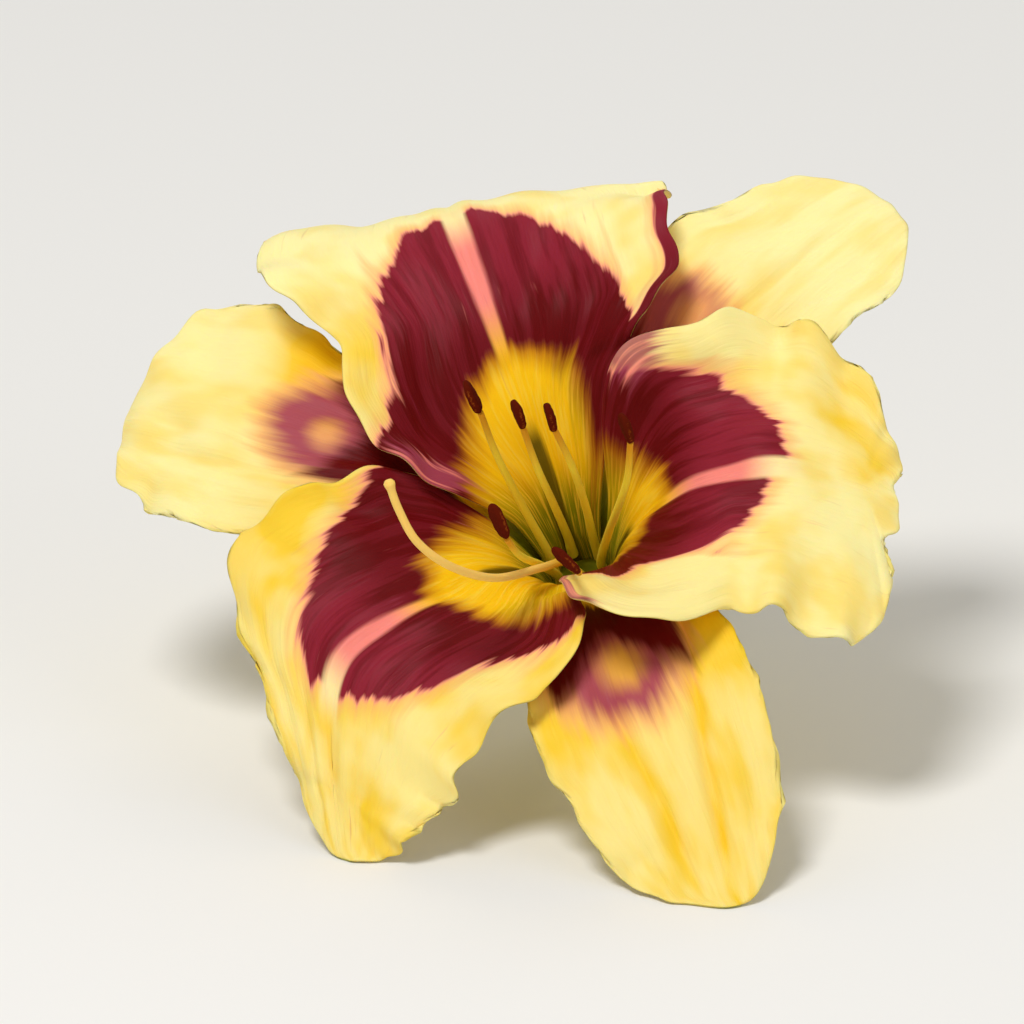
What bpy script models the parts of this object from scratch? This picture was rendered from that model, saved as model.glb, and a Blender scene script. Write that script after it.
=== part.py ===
# Daylily flower, as picked: six tepals on a fused tube, six stamens, a pistil and a short cut stem.
# It lies on a flat surface on the tips of two lower tepals and on its stem.
# Sizes are millimetres until a mesh is made. The flower's own frame has +Z out of the throat
# and +X towards the top petal; "rest" turns that frame so that the bloom lies on the ground.
import math

import bmesh
import bpy
import numpy as np
from mathutils import Matrix, Vector

MM = 0.001

# The bloom's axis as it lies: elevation above the ground and bearing from straight ahead (-Y).
AXIS_ELEVATION = 52.6
AXIS_BEARING = -16.1
AXIS_SPIN = 102.1

# Perianth tube, from the rim down to the receptacle. SEAT_GAP keeps it clear of its neighbours.
RIM_OUTER_RADIUS = 7.2
RIM_INNER_RADIUS = 3.1
TUBE_RADIUS = 3.5
TUBE_WALL = 0.9
FLARE_LENGTH = 9.0
TUBE_LENGTH = 20.0
SEAT_GAP = 0.4

# Tepals.
PETAL_RIM_RADIUS = 5.2
SEPAL_RIM_RADIUS = 6.6
PETAL_EDGE_THICKNESS = 0.75
PETAL_RIB_THICKNESS = 1.15
SEPAL_EDGE_THICKNESS = 0.75
SEPAL_RIB_THICKNESS = 0.95
RIB_HALF_WIDTH = 3.0
LANDING_SOFTNESS = 0.8
LANDING_DEPTH = 1.2

# Stamens and pistil.
FILAMENT_ROOT_RADIUS = 3.65
FILAMENT_RADIUS = 0.6
ANTHER_LENGTH = 5.4
ANTHER_WIDTH = 2.3
ANTHER_DEPTH = 1.7
OVARY_RADIUS = 1.6
OVARY_LENGTH = 7.0
STYLE_RADIUS = 0.65
STIGMA_RADIUS = 0.9

# Stem.
RECEPTACLE_RADIUS = 3.4
PEDICEL_RADIUS = 1.9
STEM_RADIUS = 2.4
STEM_BEND_RADIUS = 10.5
STEM_LYING_LENGTH = 24.5
STEM_SIDE_CURVE = 70.0
BRACT_LENGTH = 13.0
BRACT_HALF_WIDTH = 2.2

COLOURS = {
    "petal": ("#FBE08A", 0.55),
    "sepal": ("#F6D870", 0.55),
    "tube": ("#B5B23A", 0.5),
    "filament": ("#E3B92F", 0.45),
    "anther": ("#4A0F10", 0.8),
    "pistil": ("#F2D874", 0.4),
    "stem": ("#5E8A2E", 0.45),
    "bract": ("#6F8F3A", 0.5),
}


def linear(channel):
    return channel / 12.92 if channel <= 0.04045 else ((channel + 0.055) / 1.055) ** 2.4


def make_material(name, hex_colour, roughness):
    material = bpy.data.materials.new(name)
    material.use_nodes = True
    shader = material.node_tree.nodes["Principled BSDF"]
    rgb = [linear(int(hex_colour[i:i + 2], 16) / 255) for i in (1, 3, 5)]
    shader.inputs["Base Color"].default_value = (*rgb, 1)
    shader.inputs["Roughness"].default_value = roughness
    shader.inputs["Metallic"].default_value = 0
    return material


def smooth(x, low, high):
    x = np.clip((np.asarray(x, float) - low) / (high - low), 0, 1)
    return x * x * (3 - 2 * x)


def through(x, stations):
    """Smooth curve through (x, value) stations that never overshoots them."""
    xs, ys = np.array(stations, float).T
    step = np.diff(xs)
    slope = np.diff(ys) / step
    tangent = np.zeros(len(xs))
    tangent[0], tangent[-1] = slope[0], slope[-1]
    for i in range(1, len(xs) - 1):
        if slope[i - 1] * slope[i] > 0:
            before, after = 2 * step[i] + step[i - 1], step[i] + 2 * step[i - 1]
            tangent[i] = (before + after) / (before / slope[i - 1] + after / slope[i])
    x = np.asarray(x, float)
    i = np.clip(np.searchsorted(xs, x) - 1, 0, len(step) - 1)
    t = np.clip((x - xs[i]) / step[i], 0, 1)
    return ((2 * t**3 - 3 * t**2 + 1) * ys[i] + (t**3 - 2 * t**2 + t) * step[i] * tangent[i]
            + (3 * t**2 - 2 * t**3) * ys[i + 1] + (t**3 - t**2) * step[i] * tangent[i + 1])


def rest_matrix():
    """Turns the flower's frame so that it lies as picked, facing -Y and up."""
    up, bearing = math.radians(AXIS_ELEVATION), math.radians(AXIS_BEARING)
    axis = Vector((math.cos(up) * math.sin(bearing), -math.cos(up) * math.cos(bearing), math.sin(up)))
    turn = Vector((0, 0, 1)).rotation_difference(axis).to_matrix()
    return np.array(turn @ Matrix.Rotation(math.radians(AXIS_SPIN), 3, "Z"))


class Tepal:
    """A petal or sepal as a sheet: distance s runs from the rim to the tip, v from -1 to 1 across it.

    around: bearing of the midrib about the axis, against s, in degrees.
    opening: angle of the midrib from the axis, against s, in degrees.
    left, right: half widths against s; left is counter-clockwise seen from the front.
    roll: turn of the blade about its midrib against s, in degrees.
    ruffle: (height, wavelength, phase of the left margin, phase of the right margin).
    lifts: (side, s, spread, height, from) where a margin is raised towards the front.
    dents: (s, t, height, spread along, spread across) of broad hollows and swellings.
    """

    wrap = ((0, 1), (0.42, 1), (0.62, 0.8), (1, 0.3))

    def __init__(self, length, rim, tip, around, opening, left, right, ruffle, roll=((0, 0), (1, 0)),
                 lifts=(), dents=(), edge=PETAL_EDGE_THICKNESS, rib=PETAL_RIB_THICKNESS):
        self.length, self.rim, self.tip = length, rim, tip
        self.around, self.opening, self.left, self.right = around, opening, left, right
        self.ruffle, self.roll, self.lifts, self.dents = ruffle, roll, lifts, dents
        self.edge, self.rib = edge, rib
        self.stations = np.linspace(0, length, 400)
        angle = np.radians(through(self.stations, opening))
        half_step = self.stations[1] / 2
        out, ahead = np.sin(angle) * half_step, np.cos(angle) * half_step
        self.radius = rim + np.append(0, np.cumsum(out[1:] + out[:-1]))
        self.height = np.append(0, np.cumsum(ahead[1:] + ahead[:-1]))

    def half_width(self, s, v):
        return np.where(v > 0, through(s, self.left), through(s, self.right))

    def reach(self, v):
        """How far from the rim the blade ends: at its tip on the midrib, at its shoulders on the margins."""
        return self.length - self.tip * (1 - np.sqrt(1 - np.minimum(v * v, 1)))

    def sheet(self, s, v):
        """Middle of the blade's thickness, in the flower's frame, and the distance t from the midrib."""
        s, v = np.broadcast_arrays(np.asarray(s, float), np.asarray(v, float))
        u = s / self.length
        r = np.interp(s, self.stations, self.radius)
        z = np.interp(s, self.stations, self.height)
        angle = np.radians(through(s, self.opening))
        bearing = np.radians(through(s, self.around))
        t = self.half_width(s, v) * v
        zero, one = np.zeros_like(s), np.ones_like(s)
        outward = np.stack([np.cos(bearing), np.sin(bearing), zero], -1)
        across = np.stack([-np.sin(bearing), np.cos(bearing), zero], -1)
        ahead = np.stack([zero, zero, one], -1)
        front = -np.cos(angle)[..., None] * outward + np.sin(angle)[..., None] * ahead
        roll = np.radians(through(s, self.roll))[..., None]
        across, front = (across * np.cos(roll) + front * np.sin(roll),
                         front * np.cos(roll) - across * np.sin(roll))
        bend = through(u, self.wrap) * np.cos(angle) / r
        bend = np.where(np.abs(bend) < 1e-5, 1e-5, bend)
        sideways = np.sin(bend * t) / bend
        forward = (1 - np.cos(bend * t)) / bend
        height, wavelength, left_phase, right_phase = self.ruffle
        wave = np.sin(2 * math.pi * s / wavelength + np.where(v > 0, left_phase, right_phase))
        forward = forward + height * smooth(s, 14, 34) * np.abs(v) ** 2.4 * wave
        for side, at, spread, rise, start in self.lifts:
            forward = forward + rise * np.exp(-((s - at) / spread) ** 2) * smooth(side * v, start, 1)
        for at, beside, rise, along, over in self.dents:
            forward = forward + rise * np.exp(-((s - at) / along) ** 2 - ((t - beside) / over) ** 2)
        midrib = r[..., None] * outward + z[..., None] * ahead
        return midrib + sideways[..., None] * across + forward[..., None] * front, t


SEPAL_BASE = [(0, 4.2), (8, 5.2)]
PETAL_BASE = [(0, 4.9), (4, 5.9), (8, 7.3)]

TEPALS = {
    "petal_top": Tepal(
        71, PETAL_RIM_RADIUS, 9, [(0, 2), (71, 2)],
        [(0, 14), (8, 24), (18, 42), (27, 58), (36, 76), (45, 91), (52, 119), (59, 151), (71, 180)],
        PETAL_BASE + [(12, 10.4), (16, 14.8), (20, 19.2), (24, 21.9), (28, 22.9), (32, 21.9), (36, 20.8), (40, 22.4),
                      (44, 25), (47, 27.2), (50, 28), (54, 27.3), (60, 24.5), (66, 20), (71, 13.5)],
        PETAL_BASE + [(12, 9), (16, 10.4), (20, 12.2), (24, 15.5), (28, 22), (32, 26.6), (38, 27.4), (44, 28.4),
                      (50, 30), (58, 27.5), (66, 20.6), (71, 14.5)],
        (1.0, 14, 0, 2), roll=[(0, 0), (25, 0), (46, 7), (71, 8)],
        lifts=[(1, 20, 10, 2.6, 0.6), (1, 58, 12, 3.5, 0.3)]),
    "petal_right": Tepal(
        56, PETAL_RIM_RADIUS, 7, [(0, -117), (12, -113), (24, -109), (40, -108), (56, -111)],
        [(0, 14), (8, 24), (17, 42), (26, 61), (34, 89), (43, 112), (50, 121), (56, 129)],
        PETAL_BASE + [(12, 10.2), (16, 14.6), (20, 18.8), (24, 21.2), (28, 21.9), (34, 23.8), (40, 22.8), (46, 19.6),
                      (51, 14.8), (56, 11)],
        PETAL_BASE + [(12, 11.2), (16, 18), (20, 25.5), (24, 30), (28, 27.5), (32, 21.5), (36, 21.8), (42, 23.2),
                      (47, 24.5), (51, 25.8), (56, 25)],
        (1.4, 10, 1, 3), lifts=[(1, 21, 10, 3.2, 0.55), (1, 44, 9, 2.5, 0.6), (-1, 20, 7, 2.4, 0.6)]),
    "petal_left": Tepal(
        68, PETAL_RIM_RADIUS, 9, [(0, 121), (25, 122), (42, 116), (56, 126), (68, 135)],
        [(0, 14), (8, 24), (17, 42), (26, 63), (35, 83), (45, 104), (55, 118), (68, 112)],
        PETAL_BASE + [(12, 9.6), (16, 12.6), (20, 16.7), (24, 21.3), (28, 24), (33, 23.7), (38, 23.2), (43, 24.2),
                      (48, 23.6), (54, 19), (61, 12.6), (68, 9.5)],
        PETAL_BASE + [(12, 9.6), (16, 12.8), (20, 17.3), (24, 21.9), (30, 24.4), (37, 25.4), (43, 24.6), (48, 20.8),
                      (52, 14), (56, 9.4), (61, 6.8), (68, 5.4)],
        (1.2, 12, 2, 4)),
    "sepal_right": Tepal(
        65, SEPAL_RIM_RADIUS, 15, [(0, -60), (30, -59), (65, -61)],
        [(0, 24), (6, 30), (14, 48), (24, 72), (36, 85), (50, 95), (59, 103), (65, 125)],
        SEPAL_BASE + [(16, 8), (26, 12.4), (38, 17), (44, 17.8), (50, 13.6), (55, 13.6), (59, 14), (65, 12.5)],
        SEPAL_BASE + [(16, 7), (26, 10.3), (38, 13.1), (50, 13.5), (59, 12.4), (65, 9.8)],
        (0.8, 16, 0, 2), edge=SEPAL_EDGE_THICKNESS, rib=SEPAL_RIB_THICKNESS),
    "sepal_left": Tepal(
        68, SEPAL_RIM_RADIUS, 13, [(0, 60), (28, 60), (68, 55)],
        [(0, 24), (6, 28), (14, 44), (25, 66), (36, 88), (50, 97), (61, 112), (68, 141)],
        SEPAL_BASE + [(16, 7.1), (26, 10.6), (38, 13.8), (50, 14.7), (61, 13.2), (68, 10.2)],
        SEPAL_BASE + [(16, 7.3), (26, 11.3), (38, 17.6), (50, 21.2), (61, 20), (68, 15)],
        (0.8, 16, 1, 2), edge=SEPAL_EDGE_THICKNESS, rib=SEPAL_RIB_THICKNESS),
    "sepal_bottom": Tepal(
        71, SEPAL_RIM_RADIUS, 14, [(0, 181), (28, 185), (52, 185), (71, 184)],
        [(0, 24), (6, 28), (14, 44), (24, 67), (35, 87), (49, 103.5), (60, 101.5), (71, 99)],
        SEPAL_BASE + [(16, 8.6), (26, 12.6), (38, 14.7), (50, 13.3), (60, 11), (71, 8)],
        SEPAL_BASE + [(16, 8.2), (26, 12.7), (38, 16.1), (50, 14.9), (62, 12), (71, 8)],
        (0.8, 16, 2, 0), edge=SEPAL_EDGE_THICKNESS, rib=SEPAL_RIB_THICKNESS),
}

# Filaments: bearing of the root, two points on the way, the top, and the way its anther points.
STAMENS = [
    (2, (2.0, 0.6, 14), (-1.6, 1.2, 29), (-1.0, 1.4, 38.5), (0.15, 0, 1)),
    (-58, (0.6, -3.4, 14), (-2.6, -3.2, 29), (-2.9, -2.5, 38.5), (0.1, 0, 1)),
    (62, (3.0, 4.6, 14), (2.4, 5.8, 29), (3.3, 6.1, 38.5), (0.45, 0.15, 1)),
    (124, (-5.4, 4.8, 12), (-12.0, 7.0, 26), (-15.6, 8.0, 36.5), (0.7, 0.1, 1)),
    (184, (-7.4, 1.1, 12.8), (-16.4, 1.2, 27.4), (-24.2, 0.3, 36.5), (0.5, 0.5, 1)),
    (-120, (-4.2, -5.4, 13), (-6.9, -9.4, 27), (-7.8, -11.5, 37.5), (0.2, 0, 1)),
]
STYLE = [(0, 0, -6), (-0.6, 0.3, 0), (-3.5, 1.5, 8), (-11, 5, 20), (-18, 11, 32), (-20, 16, 41),
         (-18.6, 19.2, 47), (-15.7, 20.2, 51.5), (-13.3, 20.3, 55)]

REST = rest_matrix()


def lay(points):
    """From the flower's frame to the lying flower, still centred on the tube's rim."""
    return np.asarray(points) @ REST.T


def lowest_of(tepal):
    share, v = np.meshgrid(np.linspace(0.5, 1, 60), np.linspace(-1, 1, 31), indexing="ij")
    return lay(tepal.sheet(share * tepal.reach(v), v)[0])[..., 2].min()


# The ground lies where both lower tips reach it, and the tips flatten out on it.
GROUND = max(lowest_of(TEPALS["sepal_bottom"]), lowest_of(TEPALS["petal_left"])) + LANDING_DEPTH


def land(points, half_thickness):
    """Lets whatever would sink below the ground lie flat on it."""
    floor = GROUND + half_thickness
    above = (points[..., 2] - floor) / LANDING_SOFTNESS
    eased = np.log1p(np.exp(np.minimum(above, 6) * 2)) / 2
    points[..., 2] = floor + LANDING_SOFTNESS * np.where(above > 6, above, eased)
    return points


def new_object(name, vertices, faces, material):
    mesh = bpy.data.meshes.new(name)
    mesh.from_pydata([tuple(p * MM) for p in vertices], [], faces)
    body = bmesh.new()
    body.from_mesh(mesh)
    bmesh.ops.recalc_face_normals(body, faces=body.faces)
    if body.calc_volume(signed=True) < 0:
        bmesh.ops.reverse_faces(body, faces=body.faces)
    body.to_mesh(mesh)
    body.free()
    mesh.materials.append(material)
    mesh.shade_smooth()
    mesh.set_sharp_from_angle(angle=math.radians(50))
    obj = bpy.data.objects.new(name, mesh)
    bpy.context.collection.objects.link(obj)
    return obj


def new_blade(name, front, back, rows, columns, material):
    """A closed blade from a front and a back grid, triangulated alike, with a wall round the margin."""
    across, count = columns + 1, (rows + 1) * (columns + 1)
    faces = []
    for i in range(rows):
        for j in range(columns):
            a, b, c, d = i * across + j, (i + 1) * across + j, (i + 1) * across + j + 1, i * across + j + 1
            for tri in ((a, b, c), (a, c, d)):
                faces += [tri, tuple(k + count for k in reversed(tri))]
    ring = ([i * across for i in range(rows)] + [rows * across + j for j in range(columns)]
            + [i * across + columns for i in range(rows, 0, -1)] + list(range(columns, 0, -1)))
    for a, b in zip(ring, ring[1:] + ring[:1]):
        faces += [(a, a + count, b + count), (a, b + count, b)]
    return new_object(name, np.concatenate([front.reshape(-1, 3), back.reshape(-1, 3)]), faces, material)


def build_tepal(name, tepal, rows, columns, material):
    """A petal or sepal, thicker along its midrib."""
    near = np.linspace(0, 1, rows + 1)[:-1]
    s = np.append(tepal.length * (1 - (1 - near) ** 1.25), tepal.length * 0.9985)
    grid_s, grid_v = np.meshgrid(s, np.linspace(-1, 1, columns + 1), indexing="ij")
    into_tip = np.clip((grid_s - (tepal.length - tepal.tip)) / tepal.tip, 0, 1)
    grid_v = grid_v * np.sqrt(1 - into_tip ** 2)

    def middle(a, b):
        points, t = tepal.sheet(a, b)
        return land(lay(points), tepal.edge / 2), t

    centre, t = middle(grid_s, grid_v)
    along = middle(grid_s + 0.05, grid_v)[0] - middle(grid_s - 0.05, grid_v)[0]
    over = middle(grid_s, np.minimum(grid_v + 0.02, 1))[0] - middle(grid_s, np.maximum(grid_v - 0.02, -1))[0]
    normal = np.cross(along, over)
    normal /= np.maximum(np.linalg.norm(normal, axis=-1, keepdims=True), 1e-9)
    taper = 1 - smooth(grid_s / tepal.length, 0.5, 0.95)
    half = (tepal.edge + (tepal.rib - tepal.edge) * np.exp(-(t / RIB_HALF_WIDTH) ** 2) * taper) / 2
    thickness = normal * half[..., None]
    return new_blade(name, centre + thickness, centre - thickness, rows, columns, material)


def smooth_path(points, steps):
    """Catmull-Rom curve through the points."""
    p = np.array(points, float)
    p = np.vstack([2 * p[0] - p[1], p, 2 * p[-1] - p[-2]])
    out = []
    for i in range(1, len(p) - 2):
        for k in np.linspace(0, 1, steps, endpoint=False):
            a, b, c, d = p[i - 1:i + 3]
            square, cube = 2 * a - 5 * b + 4 * c - d, 3 * b - a - 3 * c + d
            out.append(0.5 * (2 * b + (c - a) * k + square * k**2 + cube * k**3))
    out.append(p[-2])
    return np.array(out)


def rod(path, radii, sides, flatten=1.0, ribs=0.0, rib_count=0):
    """Closed round rod along a path, with a cap at both ends; the frame is carried without twist."""
    path = np.asarray(path, float)
    tangent = np.gradient(path, axis=0)
    tangent /= np.linalg.norm(tangent, axis=1, keepdims=True)
    side = np.cross(tangent[0], [0.0, 1.0, 0.0])
    side /= np.linalg.norm(side)
    vertices, faces = [], []
    for point, direction, radius in zip(path, tangent, radii):
        side = side - direction * (side @ direction)
        side /= np.linalg.norm(side)
        other = np.cross(direction, side)
        for k in range(sides):
            turn = 2 * math.pi * k / sides
            reach = radius * (1 + ribs * math.cos(rib_count * turn))
            vertices.append(point + reach * (math.cos(turn) * side + flatten * math.sin(turn) * other))
    rings = len(path)
    for i in range(rings - 1):
        for k in range(sides):
            a, b = i * sides + k, i * sides + (k + 1) % sides
            faces += [(a, b, b + sides), (a, b + sides, a + sides)]
    faces.append(tuple(reversed(range(sides))))
    faces.append(tuple((rings - 1) * sides + k for k in range(sides)))
    return np.array(vertices), faces


def build_tube(material):
    """The fused tube: a hollow pipe with six faint ribs that flares into the rim."""
    sides = 30
    outer = [(RIM_OUTER_RADIUS, 0), (RIM_OUTER_RADIUS - 0.5, -2.2), (RIM_OUTER_RADIUS - 1.9, -5),
             (TUBE_RADIUS + 0.5, -FLARE_LENGTH), (TUBE_RADIUS, -FLARE_LENGTH - 4), (TUBE_RADIUS, -TUBE_LENGTH + 5),
             (TUBE_RADIUS - 0.15, -TUBE_LENGTH)]
    inner_radius = TUBE_RADIUS - TUBE_WALL
    inner = [(inner_radius - 0.15, -TUBE_LENGTH), (inner_radius, -TUBE_LENGTH + 5), (inner_radius, -FLARE_LENGTH),
             (inner_radius + 0.2, -4), (RIM_INNER_RADIUS, 0)]
    vertices, faces = [], []
    profile = [(r, z, 0.035) for r, z in outer] + [(r, z, 0.0) for r, z in inner]
    for radius, z, rib in profile:
        for k in range(sides):
            turn = 2 * math.pi * k / sides
            reach = radius * (1 + rib * (math.cos(6 * turn) - 1) / 2)
            vertices.append((reach * math.cos(turn), reach * math.sin(turn), z - SEAT_GAP))
    rings = len(profile)
    for i in range(rings):
        for k in range(sides):
            a, b = i * sides + k, i * sides + (k + 1) % sides
            c, d = ((i + 1) % rings) * sides + (k + 1) % sides, ((i + 1) % rings) * sides + k
            faces += [(a, b, c), (a, c, d)]
    return new_object("perianth_tube", lay(vertices), faces, material)


def build_stamens(filament_material, anther_material):
    for number, (bearing, low, middle, top, points_to) in enumerate(STAMENS, 1):
        turn = math.radians(bearing)
        root = np.array([FILAMENT_ROOT_RADIUS * math.cos(turn), FILAMENT_ROOT_RADIUS * math.sin(turn), 0.0])
        path = smooth_path([root, root + (0, 0, 3), low, middle, top], 4)
        radii = np.linspace(1.1, 0.75, len(path)) * FILAMENT_RADIUS
        vertices, faces = rod(path, radii, 6)
        new_object(f"filament_{number}", lay(vertices), faces, filament_material)
        direction = np.array(points_to, float)
        direction /= np.linalg.norm(direction)
        leave = (path[-1] - path[-2]) / np.linalg.norm(path[-1] - path[-2])
        start = path[-1] + leave * 0.35
        along = np.linspace(0, 1, 9)
        centre = start + np.outer(along * ANTHER_LENGTH, direction) + np.outer((along - along**2) * 0.8, (-1, 0, 0))
        swell = np.sqrt(np.maximum(1 - (2 * along - 1) ** 4, 0.06))
        vertices, faces = rod(centre, swell * ANTHER_WIDTH / 2, 10, ANTHER_DEPTH / ANTHER_WIDTH, 0.08, 2)
        new_object(f"anther_{number}", lay(vertices), faces, anther_material)


def build_pistil(material):
    """Ovary, style and stigma as one grown piece, standing on the receptacle inside the tube."""
    foot = -TUBE_LENGTH - SEAT_GAP + 0.1
    ovary = [(0, 0, foot + OVARY_LENGTH * k) for k in (0, 0.12, 0.35, 0.6, 0.85, 1.0)]
    ovary_radii = [OVARY_RADIUS * k for k in (0.8, 0.95, 1.0, 0.9, 0.6, 0.4)]
    style = smooth_path([(0, 0, foot + OVARY_LENGTH + 1.2)] + STYLE, 4)
    radii = np.full(len(style), STYLE_RADIUS)
    radii[-3:] = (STYLE_RADIUS * 1.1, STIGMA_RADIUS, STIGMA_RADIUS * 0.75)
    vertices, faces = rod(np.vstack([ovary, style]), np.concatenate([ovary_radii, radii]), 9)
    return new_object("pistil", lay(vertices), faces, material)


def stem_path():
    """Down the flower's axis, then bending to lie along the ground behind the bloom."""
    away = -REST[:, 2]
    start = away * (TUBE_LENGTH + SEAT_GAP + 0.3)
    heading = np.array([away[0], away[1], 0.0])
    heading /= np.linalg.norm(heading)
    down = math.asin(-away[2])
    level = GROUND + STEM_RADIUS
    straight = (start[2] - level - STEM_BEND_RADIUS * (1 - math.cos(down))) / math.sin(down)
    points = [start + away * k for k in np.linspace(0, max(straight, 0.6), 3)]
    corner = points[-1]
    drop = corner[2] - level
    bend = drop / (1 - math.cos(down))
    for k in np.linspace(0, down, 8)[1:]:
        points.append(corner + heading * bend * (math.sin(down) - math.sin(down - k))
                      - np.array([0, 0, 1.0]) * bend * (math.cos(down - k) - math.cos(down)))
    sideways = np.array([heading[1], -heading[0], 0.0])
    flat = points[-1]
    for k in np.linspace(0, 1, 9)[1:]:
        run = k * STEM_LYING_LENGTH
        points.append(flat + heading * run + sideways * run**2 / (2 * STEM_SIDE_CURVE))
    return np.array(points)


def build_stem(material):
    path = stem_path()
    travelled = np.concatenate([[0], np.cumsum(np.linalg.norm(np.diff(path, axis=0), axis=1))])
    radii = through(travelled, [(0, RECEPTACLE_RADIUS), (1.5, 3.0), (4, PEDICEL_RADIUS + 0.2), (8, PEDICEL_RADIUS),
                                (14, PEDICEL_RADIUS + 0.1), (18, STEM_RADIUS), (travelled[-1], STEM_RADIUS)])
    vertices, faces = rod(path, radii, 12)
    return new_object("stem", vertices, faces, material)


def build_bract(material):
    """A small pointed scale on the upper side of the stem, its foot on the stem, its tip free."""
    path = stem_path()
    foot, ahead = path[13], path[13] - path[15]
    ahead /= np.linalg.norm(ahead)
    sideways = np.cross([0.0, 0.0, 1.0], ahead)
    rows, columns, half_thickness = 8, 4, 0.35
    clear = STEM_RADIUS + 0.3 + half_thickness
    front, back = [], []
    for i in range(rows + 1):
        k = i / rows * 0.985
        width = BRACT_HALF_WIDTH * (0.75 + 0.9 * k - 1.6 * k**2) if k < 0.9 else BRACT_HALF_WIDTH * 2.64 * (1 - k)
        rise = clear + 3.4 * k**2
        for j in range(columns + 1):
            turn = (2 * j / columns - 1) * max(width, 0.25) / clear
            out = sideways * math.sin(turn) + np.array([0, 0, 1.0]) * math.cos(turn)
            middle = foot + ahead * BRACT_LENGTH * k + out * clear + np.array([0, 0, 1.0]) * (rise - clear)
            front.append(middle + out * half_thickness)
            back.append(middle - out * half_thickness)
    return new_blade("bract", np.array(front), np.array(back), rows, columns, material)


def settle():
    """Puts the lowest point on z = 0 and the middle of the outline on the origin."""
    corners = np.array([tuple(v.co) for obj in bpy.data.objects for v in obj.data.vertices])
    low, high = corners.min(axis=0), corners.max(axis=0)
    move = Matrix.Translation((-(low[0] + high[0]) / 2, -(low[1] + high[1]) / 2, -low[2]))
    for obj in bpy.data.objects:
        obj.data.transform(move)
        obj.data.update()


def main():
    for obj in list(bpy.data.objects):
        bpy.data.objects.remove(obj, do_unlink=True)
    materials = {name: make_material(name, *look) for name, look in COLOURS.items()}
    build_tube(materials["tube"])
    for name, tepal in TEPALS.items():
        if name.startswith("petal"):
            build_tepal(name, tepal, 27, 14, materials["petal"])
        else:
            build_tepal(name, tepal, 22, 8, materials["sepal"])
    build_stamens(materials["filament"], materials["anther"])
    build_pistil(materials["pistil"])
    build_stem(materials["stem"])
    build_bract(materials["bract"])
    settle()


main()
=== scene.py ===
"""Daylily bloom as picked, lying on the tips of two lower tepals and on its short stem.

Sizes are millimetres until a mesh is made. The flower's own frame has +Z out of the throat and +X towards
the top petal, with its origin at the middle of the tube's rim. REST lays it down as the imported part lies.
"""

import math

import bpy
import numpy as np
from bpy.props import FloatProperty, FloatVectorProperty, IntProperty, PointerProperty
from mathutils import Matrix, Vector


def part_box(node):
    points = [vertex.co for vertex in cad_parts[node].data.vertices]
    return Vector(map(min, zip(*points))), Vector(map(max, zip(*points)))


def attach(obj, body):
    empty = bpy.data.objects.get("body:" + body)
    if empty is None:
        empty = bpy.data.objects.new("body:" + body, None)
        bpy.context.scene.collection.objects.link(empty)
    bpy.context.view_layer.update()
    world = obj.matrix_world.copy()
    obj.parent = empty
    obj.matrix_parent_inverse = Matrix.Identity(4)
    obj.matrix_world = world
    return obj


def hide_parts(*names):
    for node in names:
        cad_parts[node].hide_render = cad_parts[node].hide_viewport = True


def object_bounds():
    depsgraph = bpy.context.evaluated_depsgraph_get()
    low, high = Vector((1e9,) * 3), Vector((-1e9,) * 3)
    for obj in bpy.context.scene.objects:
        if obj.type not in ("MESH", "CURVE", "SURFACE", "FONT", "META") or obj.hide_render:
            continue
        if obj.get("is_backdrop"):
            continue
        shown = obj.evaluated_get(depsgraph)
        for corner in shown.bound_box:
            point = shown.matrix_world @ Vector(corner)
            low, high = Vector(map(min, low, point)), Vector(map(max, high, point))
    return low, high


bl_info = {
    "name": "Daylily Bloom",
    "version": (1, 0, 0),
    "blender": (4, 5, 0),
    "location": "3D View > Sidebar > Daylily",
    "description": "Builds a picked daylily bloom piece by piece, with its studio stage",
    "category": "Add Mesh",
}

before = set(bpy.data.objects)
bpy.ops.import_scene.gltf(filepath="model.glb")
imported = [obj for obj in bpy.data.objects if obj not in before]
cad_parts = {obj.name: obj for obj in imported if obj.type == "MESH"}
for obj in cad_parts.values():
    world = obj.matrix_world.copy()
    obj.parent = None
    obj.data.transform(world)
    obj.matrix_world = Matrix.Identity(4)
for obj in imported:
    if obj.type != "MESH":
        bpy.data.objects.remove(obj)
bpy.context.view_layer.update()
MM = 0.001

# How the bloom lies: elevation and bearing of its axis, and its turn about the axis, in degrees.
AXIS_ELEVATION = 52.6
AXIS_BEARING = -16.1
AXIS_SPIN = 102.1

# Perianth tube. Its ribs are a share of its radius, and its lip is the thin part up the tepals' backs.
RIM_OUTER_RADIUS = 7.2
TUBE_RADIUS = 3.5
TUBE_FOOT_RADIUS = 3.35
TUBE_WALL = 0.9
TUBE_RIBS = 0.035
LIP_LENGTH = 2.6
LIP_WALL = 0.12
LIP_OFFSET = 0.52
FLARE_LENGTH = 9.0
TUBE_LENGTH = 20.0
SEAT_GAP = 0.4

# Tepals.
PETAL_RIM_RADIUS = 5.2
SEPAL_RIM_RADIUS = 6.6
LANDING_SOFTNESS = 0.8
LANDING_DEPTH = 1.2
ROOT_LENGTH = 5.0

# Stamens and pistil.
FILAMENT_ROOT_RADIUS = 3.65
FILAMENT_FOOT_RADIUS = 0.74
FILAMENT_TOP_RADIUS = 0.42
ANTHER_LENGTH = 5.4
ANTHER_WIDTH = 2.3
ANTHER_DEPTH = 1.7
ANTHER_BOW = 0.8
OVARY_RADIUS = 1.6
OVARY_LENGTH = 7.0
STYLE_RADIUS = 0.65

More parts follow.
